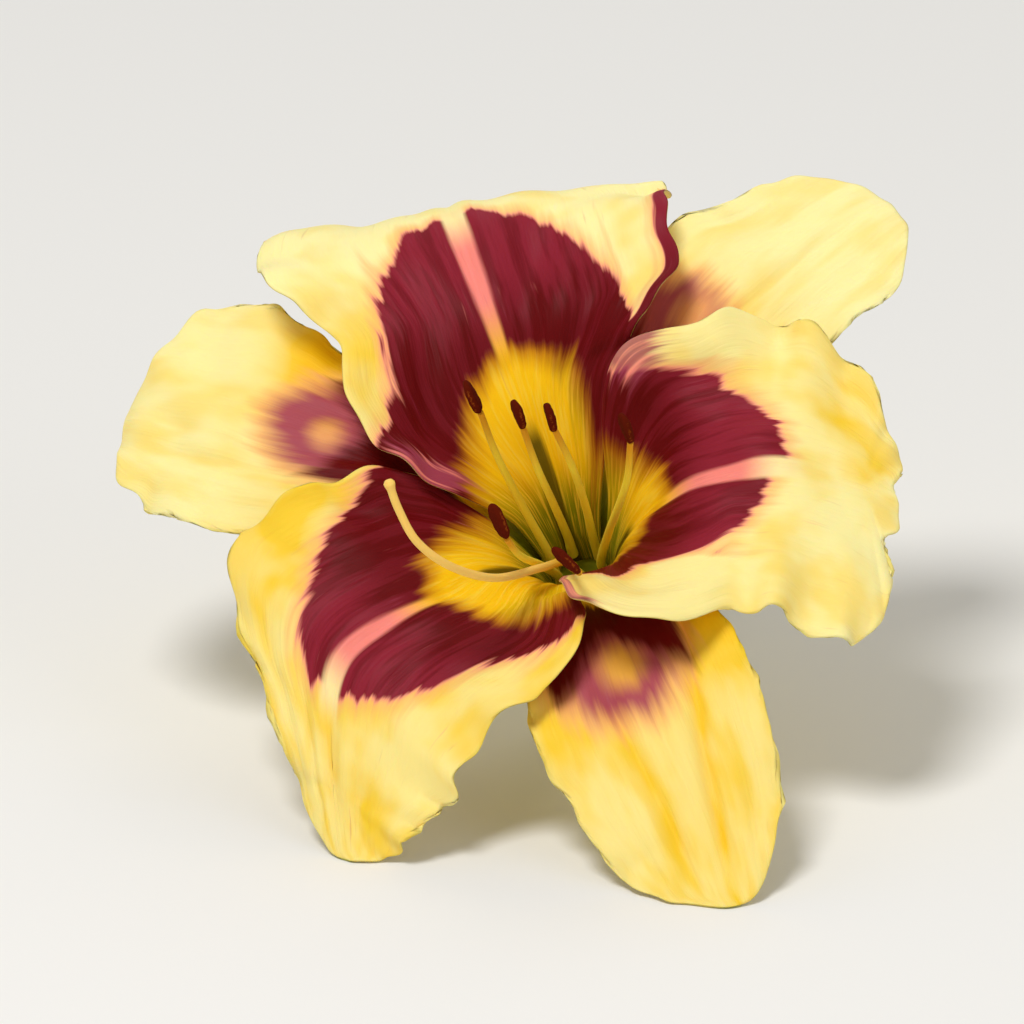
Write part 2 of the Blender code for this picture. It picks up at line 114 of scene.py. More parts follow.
# Stem.
RECEPTACLE_RADIUS = 3.4
PEDICEL_RADIUS = 1.9
STEM_RADIUS = 2.4
STEM_BEND_RADIUS = 10.5
STEM_LYING_LENGTH = 24.5
STEM_SIDE_CURVE = 70.0
BRACT_LENGTH = 13.0
BRACT_HALF_WIDTH = 2.2


def linear(hex_colour):
    """An sRGB hex colour as linear red, green, blue and alpha."""
    channels = [int(hex_colour[i:i + 2], 16) / 255 for i in (1, 3, 5)]
    return (*(c / 12.92 if c <= 0.04045 else ((c + 0.055) / 1.055) ** 2.4 for c in channels), 1.0)


def colour_property(name, description, hex_colour):
    """A colour that the user can change, given as sRGB hex."""
    return FloatVectorProperty(name=name, description=description, subtype="COLOR", size=4, min=0, max=1,
                               default=linear(hex_colour))


def length_property(name, description, millimetres):
    """A length that the user can change, given in millimetres and kept in metres."""
    return FloatProperty(name=name, description=description, unit="LENGTH", subtype="DISTANCE",
                         default=millimetres * MM, precision=5)


class DaylilyColours(bpy.types.PropertyGroup):
    cream: colour_property("Cream", "Pale outer part of the tepals", "#FFEFA6")
    # Butter in the folds stands for painted shade.
    butter: colour_property("Butter", "Deeper yellow in the folds and the throat's bright streaks", "#F9CE38")
    wine: colour_property("Wine", "Eye zone of the petals", "#8E2131")
    # Deep wine: the eye's own dark veins, and painted shade by the throat and under the petals' overlaps.
    deep_wine_and_shade: colour_property("Deep wine", "Veins and inner part of the eye zone", "#640609")
    blush: colour_property("Blush", "Midrib stripe and the eye zone's outline", "#F78D80")
    peach: colour_property("Peach", "Halo round the eye zone", "#F9B56C")
    russet: colour_property("Russet", "Veins that run from the eye zone into the throat", "#A84A10")
    gold: colour_property("Gold", "Throat", "#FAC40E")
    # Olive: the throat's own green, darkened as painted shade in the throat's depth and in its grooves.
    olive_and_shade: colour_property("Olive", "Depth of the throat", "#8F900C")
    # Painted shade in the midrib's channel deep in the throat.
    channel_shade: colour_property("Moss", "Channel of the midrib in the throat", "#5E4E06")
    rose: colour_property("Rose", "Patch on the sepals", "#A8445A")
    back: colour_property("Back", "Outer side of the tepals", "#F4DE80")
    leaf_tinge: colour_property("Leaf tinge", "Green tinge of the outer midrib", "#B6BC50")
    tube: colour_property("Tube", "Perianth tube", "#A6A826")
    filament: colour_property("Filament", "Stalks of the stamens", "#FFE648")
    filament_tip: colour_property("Filament tip", "Upper end of the stamens' stalks", "#DC9A24")
    anther: colour_property("Anther", "Closed pollen sacs", "#581404")
    pollen: colour_property("Pollen", "Grains along the anthers' slits", "#96480F")
    style: colour_property("Style", "Pale part of the pistil", "#FFCE6A")
    stem: colour_property("Stem", "Scape and pedicel", "#4E7A26")
    cut: colour_property("Cut", "Fresh cut face of the stem", "#C9D69A")
    dry: colour_property("Dry", "Papery tip of the bract", "#B9A866")
    floor: colour_property("Floor", "Studio floor", "#F1EFEB")


class DaylilySizes(bpy.types.PropertyGroup):
    blade: length_property("Blade", "Thickness of a tepal away from its midrib", 0.6)
    midrib: length_property("Midrib", "Depth of the channel along a tepal's midrib", 0.5)
    pleat: length_property("Pleat", "Height of the soft pleats between the veins", 0.28)
    vein: length_property("Vein", "Spacing of the fine veins, drawn as coarse as they need to show", 0.9)
    thread_sides: IntProperty(name="Thread sides", description="Sides of a stamen's stalk", default=16, min=6)
    lens: FloatProperty(name="Lens", description="Focal length of the camera in millimetres",
                        default=480, min=50)
    view_elevation: FloatProperty(name="View elevation", description="Height of the camera above the ground",
                                  subtype="ANGLE", default=math.radians(22))


def smooth(x, low, high):
    """Rises softly from 0 at low to 1 at high."""
    x = np.clip((np.asarray(x, float) - low) / (high - low), 0, 1)
    return x * x * (3 - 2 * x)


def through(x, stations):
    """Smooth curve through (x, value) stations that never overshoots them."""
    xs, ys = np.array(stations, float).T
    step = np.diff(xs)
    slope = np.diff(ys) / step
    tangent = np.zeros(len(xs))
    tangent[0], tangent[-1] = slope[0], slope[-1]
    for i in range(1, len(xs) - 1):
        if slope[i - 1] * slope[i] > 0:
            before, after = 2 * step[i] + step[i - 1], step[i] + 2 * step[i - 1]
            tangent[i] = (before + after) / (before / slope[i - 1] + after / slope[i])
    x = np.asarray(x, float)
    i = np.clip(np.searchsorted(xs, x) - 1, 0, len(step) - 1)
    t = np.clip((x - xs[i]) / step[i], 0, 1)
    return ((2 * t**3 - 3 * t**2 + 1) * ys[i] + (t**3 - 2 * t**2 + t) * step[i] * tangent[i]
            + (3 * t**2 - 2 * t**3) * ys[i + 1] + (t**3 - t**2) * step[i] * tangent[i + 1])


def wander(x, wavelength, seed):
    """Irregular waves about 1 high round a mean wavelength, the same on every run."""
    draw = np.random.default_rng(seed)
    total = np.zeros_like(np.asarray(x, float))
    for stretch in (0.72, 0.94, 1.2, 1.65):
        total = total + np.sin(2 * math.pi * x / (wavelength * stretch * draw.uniform(0.93, 1.07))
                               + draw.uniform(0, 2 * math.pi))
    return total / 2


def rest_matrix():
    """Turns the flower's frame so that it lies as picked, facing -Y and up."""
    up, bearing = math.radians(AXIS_ELEVATION), math.radians(AXIS_BEARING)
    axis = Vector((math.cos(up) * math.sin(bearing), -math.cos(up) * math.cos(bearing), math.sin(up)))
    turn = Vector((0, 0, 1)).rotation_difference(axis).to_matrix()
    return np.array(turn @ Matrix.Rotation(math.radians(AXIS_SPIN), 3, "Z"))


class Tepal:
    """A petal or sepal as a sheet: distance s runs from the rim to the tip, v from -1 to 1 across it.

    around: bearing of the midrib about the axis, against s, in degrees.
    opening: angle of the midrib from the axis, against s, in degrees.
    left, right: half widths against s; left is counter-clockwise seen from the front.
    roll: turn of the blade about its midrib against s, in degrees.
    ruffle: (height, wavelength, phase of the left margin, phase of the right margin).
    lifts: (side, s, spread, height, from) where a margin is raised towards the front.
    scallop: how far the small bites in the margin reach in.
    notches: (distance round from the tip, spread, depth) of larger bites.
    crimp: wavelength and height of the small waves along the margin.
    creases: (t against s, depth, half width) of lengthwise folds.
    warmth, golds: deeper yellow all over, and (s, t, spread, amount) where there is more of it; where it lies
    in creases and beside the petals that cover a sepal it is painted shade.
    hems: (side, s, spread, reach) where the margin is painted in rose streaks.
    shaded_wine_margin: (side, first s, last s, width) of a band along the margin that is painted as the eye is,
    as painted shade on the margin where it rolls back.
    eye: a petal's eye zone as its near edge, s against v, and its far edge, s against t; a sepal's patch
    as the s and t of its middle, its half length and width, and the s, t and half length of its pale spot.
    """

    wrap = ((0, 1), (0.42, 1), (0.62, 0.8), (1, 0.3))

    def __init__(self, number, length, rim, tip, around, opening, left, right, ruffle, eye,
                 roll=((0, 0), (1, 0)), lifts=(), scallop=0.4, notches=(), crimp=(7, 0.25), creases=(),
                 warmth=0.0, golds=(), hems=(), shaded_wine_margin=None):
        self.number, self.length, self.tip = number, length, tip
        self.around, self.opening, self.left, self.right = around, opening, left, right
        self.ruffle, self.eye, self.roll, self.lifts = ruffle, eye, roll, lifts
        self.scallop, self.notches, self.crimp, self.creases = scallop, notches, crimp, creases
        self.warmth, self.golds, self.hems, self.shaded_wine_margin = warmth, golds, hems, shaded_wine_margin
        self.stations = np.linspace(0, length, 400)
        angle = np.radians(through(self.stations, opening))
        half_step = self.stations[1] / 2
        out, ahead = np.sin(angle) * half_step, np.cos(angle) * half_step
        self.radius = rim + np.append(0, np.cumsum(out[1:] + out[:-1]))
        self.height = np.append(0, np.cumsum(ahead[1:] + ahead[:-1]))

    def half_width(self, s, v):
        return np.where(v > 0, through(s, self.left), through(s, self.right))

    def reach(self, v):
        """How far from the rim the blade ends: at its tip on the midrib, at its shoulders on the margins."""
        return self.length - self.tip * (1 - np.sqrt(1 - np.minimum(v * v, 1)))

    def margin(self, s, v):
        """Beside each point: how far off the margin is, how far round from the tip, and how it is turned.

        The distance round is positive on the left and negative on the right. The turn is 0 where the margin
        faces sideways and a quarter turn at the tip.
        """
        shoulder = self.length - self.tip
        ahead = np.maximum(s - shoulder, 0) / self.tip
        gap = np.minimum(self.half_width(s, v) * (np.sqrt(1 - np.minimum(ahead, 1) ** 2) - np.abs(v)),
                         (self.length - s) * 1.5)
        turn = np.where(s > shoulder, np.arctan2(ahead, np.maximum(np.abs(v), 1e-6)), 0)
        beside = np.where(s > shoulder, shoulder + self.tip * np.sin(turn), s)
        round_tip = np.linspace(0, math.pi / 2, 60)[1:]
        along = np.append(np.linspace(0, shoulder, 120), shoulder + self.tip * np.sin(round_tip))
        rounded = np.sqrt(1 - (np.maximum(along - shoulder, 0) / self.tip) ** 2)
        runs = []
        for side in (-1, 1):
            step = np.hypot(np.diff(along), np.diff(self.half_width(along, side) * rounded))
            run = np.append(0, np.cumsum(step))
            runs.append(side * (run[-1] - np.interp(beside, along, run)))
        return np.maximum(gap, 0), np.where(v > 0, runs[1], runs[0]), turn

    def sheet(self, s, v):
        """Middle of the blade's thickness, in the flower's frame, and the distance t from the midrib."""
        s, v = np.broadcast_arrays(np.asarray(s, float), np.asarray(v, float))
        # Below the rim the blade runs on into the tube's flare.
        below = np.minimum(s, 0)
        s = np.maximum(s, 0)
        u = s / self.length
        first_angle = math.radians(self.opening[0][1])
        r = np.interp(s, self.stations, self.radius) + below * math.sin(first_angle) * 0.7
        z = np.interp(s, self.stations, self.height) + below * math.cos(first_angle)
        angle = np.radians(through(s, self.opening))
        bearing = np.radians(through(s, self.around))
        t = self.half_width(s, v) * v
        zero = np.zeros_like(s)
        outward = np.stack([np.cos(bearing), np.sin(bearing), zero], -1)
        across = np.stack([-np.sin(bearing), np.cos(bearing), zero], -1)
        ahead = np.stack([zero, zero, zero + 1], -1)
        front = -np.cos(angle)[..., None] * outward + np.sin(angle)[..., None] * ahead
        roll = np.radians(through(s, self.roll))[..., None]
        across, front = (across * np.cos(roll) + front * np.sin(roll),
                         front * np.cos(roll) - across * np.sin(roll))
        bend = through(u, self.wrap) * np.cos(angle) / r
        bend = np.where(np.abs(bend) < 1e-5, 1e-5, bend)
        sideways = np.sin(bend * t) / bend
        forward = (1 - np.cos(bend * t)) / bend
        height, wavelength, left_phase, right_phase = self.ruffle
        wave = np.sin(2 * math.pi * s / wavelength + np.where(v > 0, left_phase, right_phase))
        forward = forward + height * smooth(s, 14, 34) * np.abs(v) ** 2.4 * wave
        for side, at, spread, rise, start in self.lifts:
            forward = forward + rise * np.exp(-((s - at) / spread) ** 2) * smooth(side * v, start, 1)
        midrib = r[..., None] * outward + z[..., None] * ahead
        return midrib + sideways[..., None] * across + forward[..., None] * front, t


SEPAL_BASE = [(0, 4.2), (8, 5.2)]
PETAL_BASE = [(0, 4.9), (4, 5.9), (8, 7.3)]

PETALS = {
    "petal_top": Tepal(
        1, 71, PETAL_RIM_RADIUS, 9, [(0, 2), (71, 2)],
        [(0, 14), (8, 24), (18, 42), (27, 58), (36, 76), (45, 91), (52, 119), (59, 151), (71, 180)],
        PETAL_BASE + [(12, 10.4), (16, 14.8), (20, 19.2), (24, 21.9), (28, 22.9), (32, 21.9), (36, 20.8),
                      (40, 22.4), (44, 25), (47, 27.2), (50, 28), (54, 27.3), (60, 24.5), (66, 20),
                      (71, 13.5)],
        PETAL_BASE + [(12, 9), (16, 10.4), (20, 12.2), (24, 15.5), (28, 22), (32, 26.6), (38, 27.4),
                      (44, 28.4), (50, 30), (58, 27.5), (66, 20.6), (71, 14.5)],
        (1.0, 14, 0, 2), roll=[(0, 0), (25, 0), (46, 7), (71, 8)],
        lifts=[(1, 20, 10, 2.6, 0.6), (1, 58, 12, 3.5, 0.3)], scallop=0.6, crimp=(8, 0.4), warmth=-0.12,
        golds=[(32, 19, 9, 0.45), (17, 8, 7, 0.8)], hems=[(1, 19, 3.6, 6.5)], shaded_wine_margin=(-1, 27, 53, 1.9),
        eye=([(-1, 11), (-0.85, 15), (-0.7, 21), (-0.3, 27.5), (0, 29), (0.15, 27.7), (0.3, 25), (0.45, 21),
              (0.7, 17.2), (1, 14)],
             [(-20, 22), (-19, 26), (-18, 32), (-16.3, 36.3), (-13.4, 42.5), (-8.6, 48), (-1.6, 51.5),
              (6.6, 50), (9.6, 46), (12.7, 42.4), (15, 34), (16.5, 28.5), (18.5, 26), (20, 25), (23, 24.2)])),
    "petal_right": Tepal(
        2, 56, PETAL_RIM_RADIUS, 7, [(0, -117), (12, -113), (24, -109), (40, -108), (56, -111)],
        [(0, 14), (8, 24), (17, 42), (26, 61), (34, 89), (43, 112), (50, 121), (56, 129)],
        PETAL_BASE + [(12, 10.2), (16, 14.6), (20, 18.8), (24, 21.2), (28, 21.9), (34, 23.8), (40, 22.8),
                      (46, 19.6), (51, 14.8), (56, 11)],
        PETAL_BASE + [(12, 11.2), (16, 18), (20, 25.5), (24, 30), (28, 27.5), (32, 21.5), (36, 21.8),
                      (42, 23.2), (47, 24.5), (51, 25.8), (56, 25)],
        (1.4, 10, 1, 3), lifts=[(1, 21, 10, 3.2, 0.55), (1, 44, 9, 2.5, 0.6), (-1, 20, 7, 2.4, 0.6)],
        notches=[(25, 3, 1.0), (14, 3.5, 1.8), (3.2, 2.2, 2.2), (-1, 3, 1.2), (-7.6, 3, 3.2), (-25, 4, 1.8)],
        scallop=0.5, crimp=(7, 0.4), golds=[(45, 11, 5, 0.5), (50, 3, 4, 0.5)],
        hems=[(1, 22, 2.6, 5.5), (-1, 20, 4, 2)],
        eye=([(-1, 9), (-0.66, 12.5), (-0.4, 15), (-0.1, 17.5), (0.1, 21), (0.3, 19.4), (0.52, 16.7),
              (0.9, 13.8), (1, 13)],
             [(-22, 9), (-18, 13), (-15.9, 17.7), (-13.7, 21), (-12.4, 26.8), (-10.1, 30.5), (-7.7, 33.8),
              (-4, 36.2), (2.9, 38.4), (8.3, 35.7), (13.1, 30.5), (16, 25.1), (17.4, 20.5), (19, 17)])),
    "petal_left": Tepal(
        3, 68, PETAL_RIM_RADIUS, 9, [(0, 121), (25, 122), (42, 116), (56, 126), (68, 135)],
        [(0, 14), (8, 24), (17, 42), (26, 63), (35, 83), (45, 104), (55, 118), (68, 112)],
        PETAL_BASE + [(12, 9.6), (16, 12.6), (20, 16.7), (24, 21.3), (28, 24), (33, 23.7), (38, 23.2),
                      (43, 24.2), (48, 23.6), (54, 19), (61, 12.6), (68, 9.5)],
        PETAL_BASE + [(12, 9.6), (16, 12.8), (20, 17.3), (24, 21.9), (30, 24.4), (37, 25.4), (43, 24.6),
                      (48, 20.8), (52, 14), (56, 9.4), (61, 6.8), (68, 5.4)],
        (1.2, 12, 2, 4), scallop=0.8, crimp=(8, 0.5), warmth=0.3, golds=[(42, -24, 9, 0.4), (60, 4, 7, 0.25)],
        eye=([(-1, 12), (-0.73, 15.8), (-0.54, 19.1), (-0.43, 21.3), (-0.31, 24.7), (-0.21, 27.5),
              (0.03, 30), (0.19, 28.6), (0.33, 27.7), (0.52, 25.9), (0.7, 23.2), (1, 20)],
             [(-22, 20), (-19.8, 24.8), (-17.4, 29.9), (-14.9, 35.2), (-11.3, 40.1), (-6.7, 46.7), (-3.6, 49),
              (0, 48.5), (5.9, 46.3), (9.8, 43.8), (13, 37.6), (15.1, 31.8), (18.5, 28), (21, 22)])),
}
SEPALS = {
    "sepal_right": Tepal(
        4, 65, SEPAL_RIM_RADIUS, 15, [(0, -60), (30, -59), (65, -61)],
        [(0, 24), (6, 30), (14, 48), (24, 72), (36, 85), (50, 95), (59, 103), (65, 125)],
        SEPAL_BASE + [(16, 8), (26, 12.4), (38, 17), (44, 17.8), (50, 13.6), (55, 13.6), (59, 14),
                      (65, 12.5)],
        SEPAL_BASE + [(16, 7), (26, 10.3), (38, 13.1), (50, 13.5), (59, 12.4), (65, 9.8)],
        (0.8, 16, 0, 2), eye=(30, 6, 9.5, 9, 33.5, 4.5, 4), warmth=-0.1),
    "sepal_left": Tepal(
        5, 68, SEPAL_RIM_RADIUS, 13, [(0, 60), (28, 60), (68, 55)],
        [(0, 24), (6, 28), (14, 44), (25, 66), (36, 88), (50, 97), (61, 112), (68, 141)],
        SEPAL_BASE + [(16, 7.1), (26, 10.6), (38, 13.8), (50, 14.7), (61, 13.2), (68, 10.2)],
        SEPAL_BASE + [(16, 7.3), (26, 11.3), (38, 17.6), (50, 21.2), (61, 20), (68, 15)],
        (0.8, 16, 1, 2), eye=(35, -4.3, 11, 8.5, 35.4, -3.2, 2.9), scallop=0.9, crimp=(9, 0.35), warmth=0.05,
        golds=[(38, -14, 6.5, 1.5)],
        creases=[([(30, -6), (62, -8)], 0.5, 1.6), ([(36, 6), (62, 3)], 0.4, 1.4)]),
    "sepal_bottom": Tepal(
        6, 71, SEPAL_RIM_RADIUS, 14, [(0, 181), (28, 185), (52, 185), (71, 184)],
        [(0, 24), (6, 28), (14, 44), (24, 67), (35, 87), (49, 103.5), (60, 101.5), (71, 99)],
        SEPAL_BASE + [(16, 8.6), (26, 12.6), (38, 14.7), (50, 13.3), (60, 11), (71, 8)],
        SEPAL_BASE + [(16, 8.2), (26, 12.7), (38, 16.1), (50, 14.9), (62, 12), (71, 8)],
        (0.8, 16, 2, 0), eye=(31, -2, 11, 10.5, 31.8, -1.5, 4), crimp=(7, 0.3), warmth=0.35,
        golds=[(30, 12, 6, 0.9), (58, 4, 9, 0.2)],
        creases=[([(26, 9), (39, 6.4), (51, 3.4), (68, 1)], 1.1, 1.2), ([(34, -5), (64, -3.5)], 0.9, 1.4)]),
}

# Filaments: bearing of the root, two points on the way, the top, and the way its anther points.
STAMENS = [
    (2, (2.0, 0.6, 14), (-1.6, 1.2, 29), (-1.0, 1.4, 38.5), (0.15, 0, 1)),
    (-58, (0.6, -3.4, 14), (-2.6, -3.2, 29), (-2.9, -2.5, 38.5), (0.1, 0, 1)),
    (62, (3.0, 4.6, 14), (2.4, 5.8, 29), (3.3, 6.1, 38.5), (0.45, 0.15, 1)),
    (124, (-5.4, 4.8, 12), (-12.0, 7.0, 26), (-15.6, 8.0, 36.5), (0.7, 0.1, 1)),
    (184, (-7.4, 1.1, 12.8), (-16.4, 1.2, 27.4), (-24.2, 0.3, 36.5), (0.5, 0.5, 1)),
    (-120, (-4.2, -5.4, 13), (-6.9, -9.4, 27), (-7.8, -11.5, 37.5), (0.2, 0, 1)),
]
STYLE = [(0, 0, -6), (-0.6, 0.3, 0), (-3.5, 1.5, 8), (-11, 5, 20), (-18, 11, 32), (-20, 16, 41),
         (-18.6, 19.2, 47), (-15.7, 20.2, 51.5), (-13.3, 20.3, 55)]

REST = rest_matrix()


def lay(points):
    """From the flower's frame to the lying flower, still centred on the tube's rim."""
    return np.asarray(points) @ REST.T


def lowest_of(tepal):
    """Height of the lowest point in the outer half of a tepal, before it is laid on the ground."""
    share, v = np.meshgrid(np.linspace(0.5, 1, 60), np.linspace(-1, 1, 31), indexing="ij")
    return lay(tepal.sheet(share * tepal.reach(v), v)[0])[..., 2].min()


GROUND = max(lowest_of(SEPALS["sepal_bottom"]), lowest_of(PETALS["petal_left"])) + LANDING_DEPTH


def land(points, half_thickness):
    """Lets whatever would sink below the ground lie flat on it."""
    floor = GROUND + half_thickness
    above = (points[..., 2] - floor) / LANDING_SOFTNESS
    eased = np.log1p(np.exp(np.minimum(above, 6) * 2)) / 2
    points[..., 2] = floor + LANDING_SOFTNESS * np.where(above > 6, above, eased)
    return points


def ribbed(radius, turn):
    """The tube's radius all the way round, with its six faint ribs."""
    return radius * (1 + TUBE_RIBS * (np.cos(6 * turn) - 1) / 2)


def ring(radius, turn, z):
    """Points round the flower's axis at one height."""
    return np.stack([radius * np.cos(turn), radius * np.sin(turn), np.full(len(turn), z)], -1)


def packed_shift():
    """From the rim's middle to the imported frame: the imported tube's box against the same tube built here."""
    turn = np.linspace(0, 2 * math.pi, 31)[:-1]
    own = np.concatenate([lay(ring(ribbed(radius, turn), turn, z - SEAT_GAP))
                          for radius, z in ((RIM_OUTER_RADIUS, 0), (TUBE_FOOT_RADIUS, -TUBE_LENGTH))])
    low, high = (np.array(corner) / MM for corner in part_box("perianth_tube"))
    return (low + high) / 2 - (own.min(axis=0) + own.max(axis=0)) / 2


SHIFT = packed_shift()


def new_mesh(name, points, faces, attributes=None):
    """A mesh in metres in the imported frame, with its named point attributes, shaded smooth."""
    mesh = bpy.data.meshes.new(name)
    placed = (np.asarray(points).reshape(-1, 3) + SHIFT) * MM
    mesh.from_pydata(placed.tolist(), [], faces)
    for label, values in (attributes or {}).items():
        values = np.asarray(values, np.float32)
        kind, field = ("FLOAT_VECTOR", "vector") if values.ndim == 2 else ("FLOAT", "value")
        mesh.attributes.new(label, kind, "POINT").data.foreach_set(field, values.ravel())
    mesh.shade_smooth()
    mesh.update()
    return mesh


def new_piece(name, mesh, material, nodes):
    """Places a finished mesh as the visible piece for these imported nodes."""
    mesh.materials.clear()
    mesh.materials.append(material)
    piece = bpy.data.objects.new(name, mesh)
    bpy.context.scene.collection.objects.link(piece)
    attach(piece, "root")
    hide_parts(*nodes)
    return piece


def grid_shell_faces(rows, columns):
    """Quads of a closed blade: a front grid, a back grid and a wall round the margin."""
    across, count = columns + 1, (rows + 1) * (columns + 1)
    faces = []
    for i in range(rows):
        for j in range(columns):
            a, b, c, d = i * across + j, (i + 1) * across + j, (i + 1) * across + j + 1, i * across + j + 1
            faces += [(a, b, c, d), (d + count, c + count, b + count, a + count)]
    margin = ([i * across for i in range(rows)] + [rows * across + j for j in range(columns)]
              + [i * across + columns for i in range(rows, 0, -1)] + list(range(columns, 0, -1)))
    return faces + [(a, a + count, b + count, b) for a, b in zip(margin, margin[1:] + margin[:1])]


def ring_faces(rings, sides, closed=False):
    """Quads between rings of points in turn, and from the last ring back to the first if they are closed."""
    faces = []
    for i in range(rings if closed else rings - 1):
        here, there = i * sides, (i + 1) % rings * sides
        for k in range(sides):
            after = (k + 1) % sides
            faces.append((here + k, here + after, there + after, there + k))
    return faces


def surface_normals(points):
    """Unit normals of a grid of points, towards the front of the blade."""
    normal = np.cross(np.gradient(points, axis=0), np.gradient(points, axis=1))
    return normal / np.maximum(np.linalg.norm(normal, axis=-1, keepdims=True), 1e-9)


def creased(tepal, s, t):
    """Depth of the lengthwise folds at a point, in millimetres."""
    total = np.zeros_like(s)
    for line, depth, half_width in tepal.creases:
        start = line[0][0]
        total += depth * np.exp(-((t - through(s, line)) / half_width) ** 2) * smooth(s, start - 4, start + 4)
    return total


def blade_relief(tepal, s, t, v, edge, run, sizes, is_petal):
    """Height of the midrib's channel, the folds, the pleats and the margin's crimp, in millimetres."""
    length = tepal.length
    grown = smooth(s, 3, 16) * (1 - smooth(s, length - 11, length - 2))
    channel = sizes.midrib / MM * (0.35 * np.exp(-((np.abs(t) - 2.7) / 1.3) ** 2) - np.exp(-(t / 1.15) ** 2))
    bow = 0.06 * wander(s, 40, tepal.number)
    pleats = sizes.pleat / MM * np.cos(2 * math.pi * (v + bow) * (3.0 if is_petal else 2.2) + tepal.number)
    pleats = pleats * (0.75 + 0.25 * wander(s, 22, tepal.number + 10))
    wavelength, height = tepal.crimp
    crimp = height * np.exp(-edge / (0.5 * wavelength)) * wander(run, wavelength, tepal.number + 20)
    soft = 0.4 * wander(s + 0.5 * t, 17, tepal.number + 30) * wander(t, 21, tepal.number + 40)
    return (grown * (channel - creased(tepal, s, t) + pleats * smooth(edge, 0.5, 5))
            + (crimp + soft) * smooth(s, 12, 24))


def build_blade(tepal, sizes, rows, columns, is_petal):
    """Closed mesh of one tepal with the attributes that its painting follows."""
    even = np.linspace(-1, 1, columns + 1)
    along, v = np.meshgrid(np.linspace(-ROOT_LENGTH, tepal.length, rows + 1),
                           0.75 * even + 0.25 * np.sin(even * math.pi / 2), indexing="ij")
    s = np.where(along > 0, along * tepal.reach(v) / tepal.length, along)
    width = tepal.half_width(s, v)
    edge, run, turn = tepal.margin(s, v)
    bites = tepal.scallop * (0.5 + 0.5 * wander(run, 8.5, tepal.number + 50)) * smooth(s, 18, 30)
    for at, spread, depth in tepal.notches:
        bites = bites + depth * np.exp(-((run - at) / spread) ** 2)
    bites = bites * np.exp(-edge / 4)
    reach_s = s - bites * np.sin(turn)
    reach_v = (v * width - np.sign(v) * bites * np.cos(turn)) / tepal.half_width(reach_s, v)
    centre, t = tepal.sheet(reach_s, reach_v)
    centre = lay(centre)
    relief = blade_relief(tepal, reach_s, t, v, edge, run, sizes, is_petal)
    centre = centre + surface_normals(centre) * relief[..., None]
    # The blade is thicker along its midrib, and thins out at its margin and in its root.
    flesh = sizes.blade / MM / 2
    keel = 0.6 * np.exp(-(t / 2.2) ** 2) * (1 - smooth(s, 0.5 * tepal.length, tepal.length))
    half = flesh * (1 + keel) * (0.25 + 0.75 * np.sqrt(np.clip(edge / 1.1, 0, 1)))
    half = half * np.where(s < 0, 1 + s / ROOT_LENGTH * 0.6, 1)
    centre = land(centre, flesh)
    thickness = surface_normals(centre) * half[..., None]
    front, back = centre + thickness, centre - thickness
    for side in (front, back):
        side[..., 2] = np.maximum(side[..., 2], GROUND + 0.02)
    shape = s.shape
    flat = np.ones(s.size)
    blade = np.stack([s, t, edge], -1).reshape(-1, 3)
    veins = np.stack([v * 22 + 60 * tepal.number, s, np.zeros(shape)], -1).reshape(-1, 3)
    zone = (eye_gaps(tepal, s, t, v, width, edge) if is_petal else rose_patch(tepal, s, t)).reshape(-1, 3)
    hem = np.zeros(shape)
    for side, at, spread, reach in tepal.hems:
        inward = smooth(side * v, 0, 0.1) * (1 - smooth(edge, 0.2 * reach, reach))
        hem += inward * np.exp(-((s - at) / spread) ** 2)
    # Deeper yellow in the creases is painted shade, and so is most of the golds' deeper yellow, in folds and
    # beside the petals; the tepal's own warmth is its tone.
    warmth = tepal.warmth + 0.25 * creased(tepal, s, t)
    for at, off, spread, amount in tepal.golds:
        warmth += amount * np.exp(-((s - at) ** 2 + (t - off) ** 2) / spread ** 2)
    attributes = {
        "blade": np.concatenate([blade, blade]),
        "veins": np.concatenate([veins, veins + (0, 0, 7)]),
        "zone": np.concatenate([zone, zone]),
        "hem": np.tile(hem.ravel(), 2),
        "warmth": np.tile(warmth.ravel(), 2),
        "front": np.concatenate([flat, flat * 0]),
    }
    points = np.concatenate([front.reshape(-1, 3), back.reshape(-1, 3)])
    return points, grid_shell_faces(rows, columns), attributes


def eye_gaps(tepal, s, t, v, width, edge):
    """How far a point lies past the eye's near edge and short of its far edge, in millimetres, and its
    share of the way between them along the midrib."""
    near, far = tepal.eye
    slope = (through(v + 0.01, near) - through(v - 0.01, near)) / 0.02 / np.maximum(width, 3)
    near_gap = (s - through(v, near)) / np.hypot(1, slope)
    slope = (through(t + 0.1, far) - through(t - 0.1, far)) / 0.2
    far_gap = (through(t, far) - s) / np.hypot(1, slope)
    # The wine band on the margin is painted shade where the margin rolls back, in the eye's wine.
    if tepal.shaded_wine_margin:
        side, start, end, band = tepal.shaded_wine_margin
        band = band * smooth(s, start - 3, start + 3) * (1 - smooth(s, end - 12, end))
        band = band * smooth(side * v, 0, 0.1)
        far_gap = np.maximum(far_gap, np.where(band > 0.1, band - edge, -9))
    first, last = through(0, near), through(0, far)
    return np.stack([near_gap, far_gap, (s - first) / (last - first)], -1)


def rose_patch(tepal, s, t):
    """A sepal's patch and the pale spot in it, each 1 in its middle, and how far a point lies past the wine
    that is between the patch and the throat, partly painted shade under the petals, in millimetres."""
    at, off, half_length, half_width, spot_at, spot_off, spot_half = tepal.eye
    patch = 1 - np.hypot((s - at) / half_length, (t - off) / half_width)
    spot = 1 - np.hypot(s - spot_at, 1.2 * (t - spot_off)) / spot_half
    beside = np.abs(t - off)
    past_wine_and_shade = np.maximum(s - at + 6.2 - 1.05 * beside, 3 * (beside - 0.88 * half_width))
    return np.stack([patch, spot, past_wine_and_shade], -1)


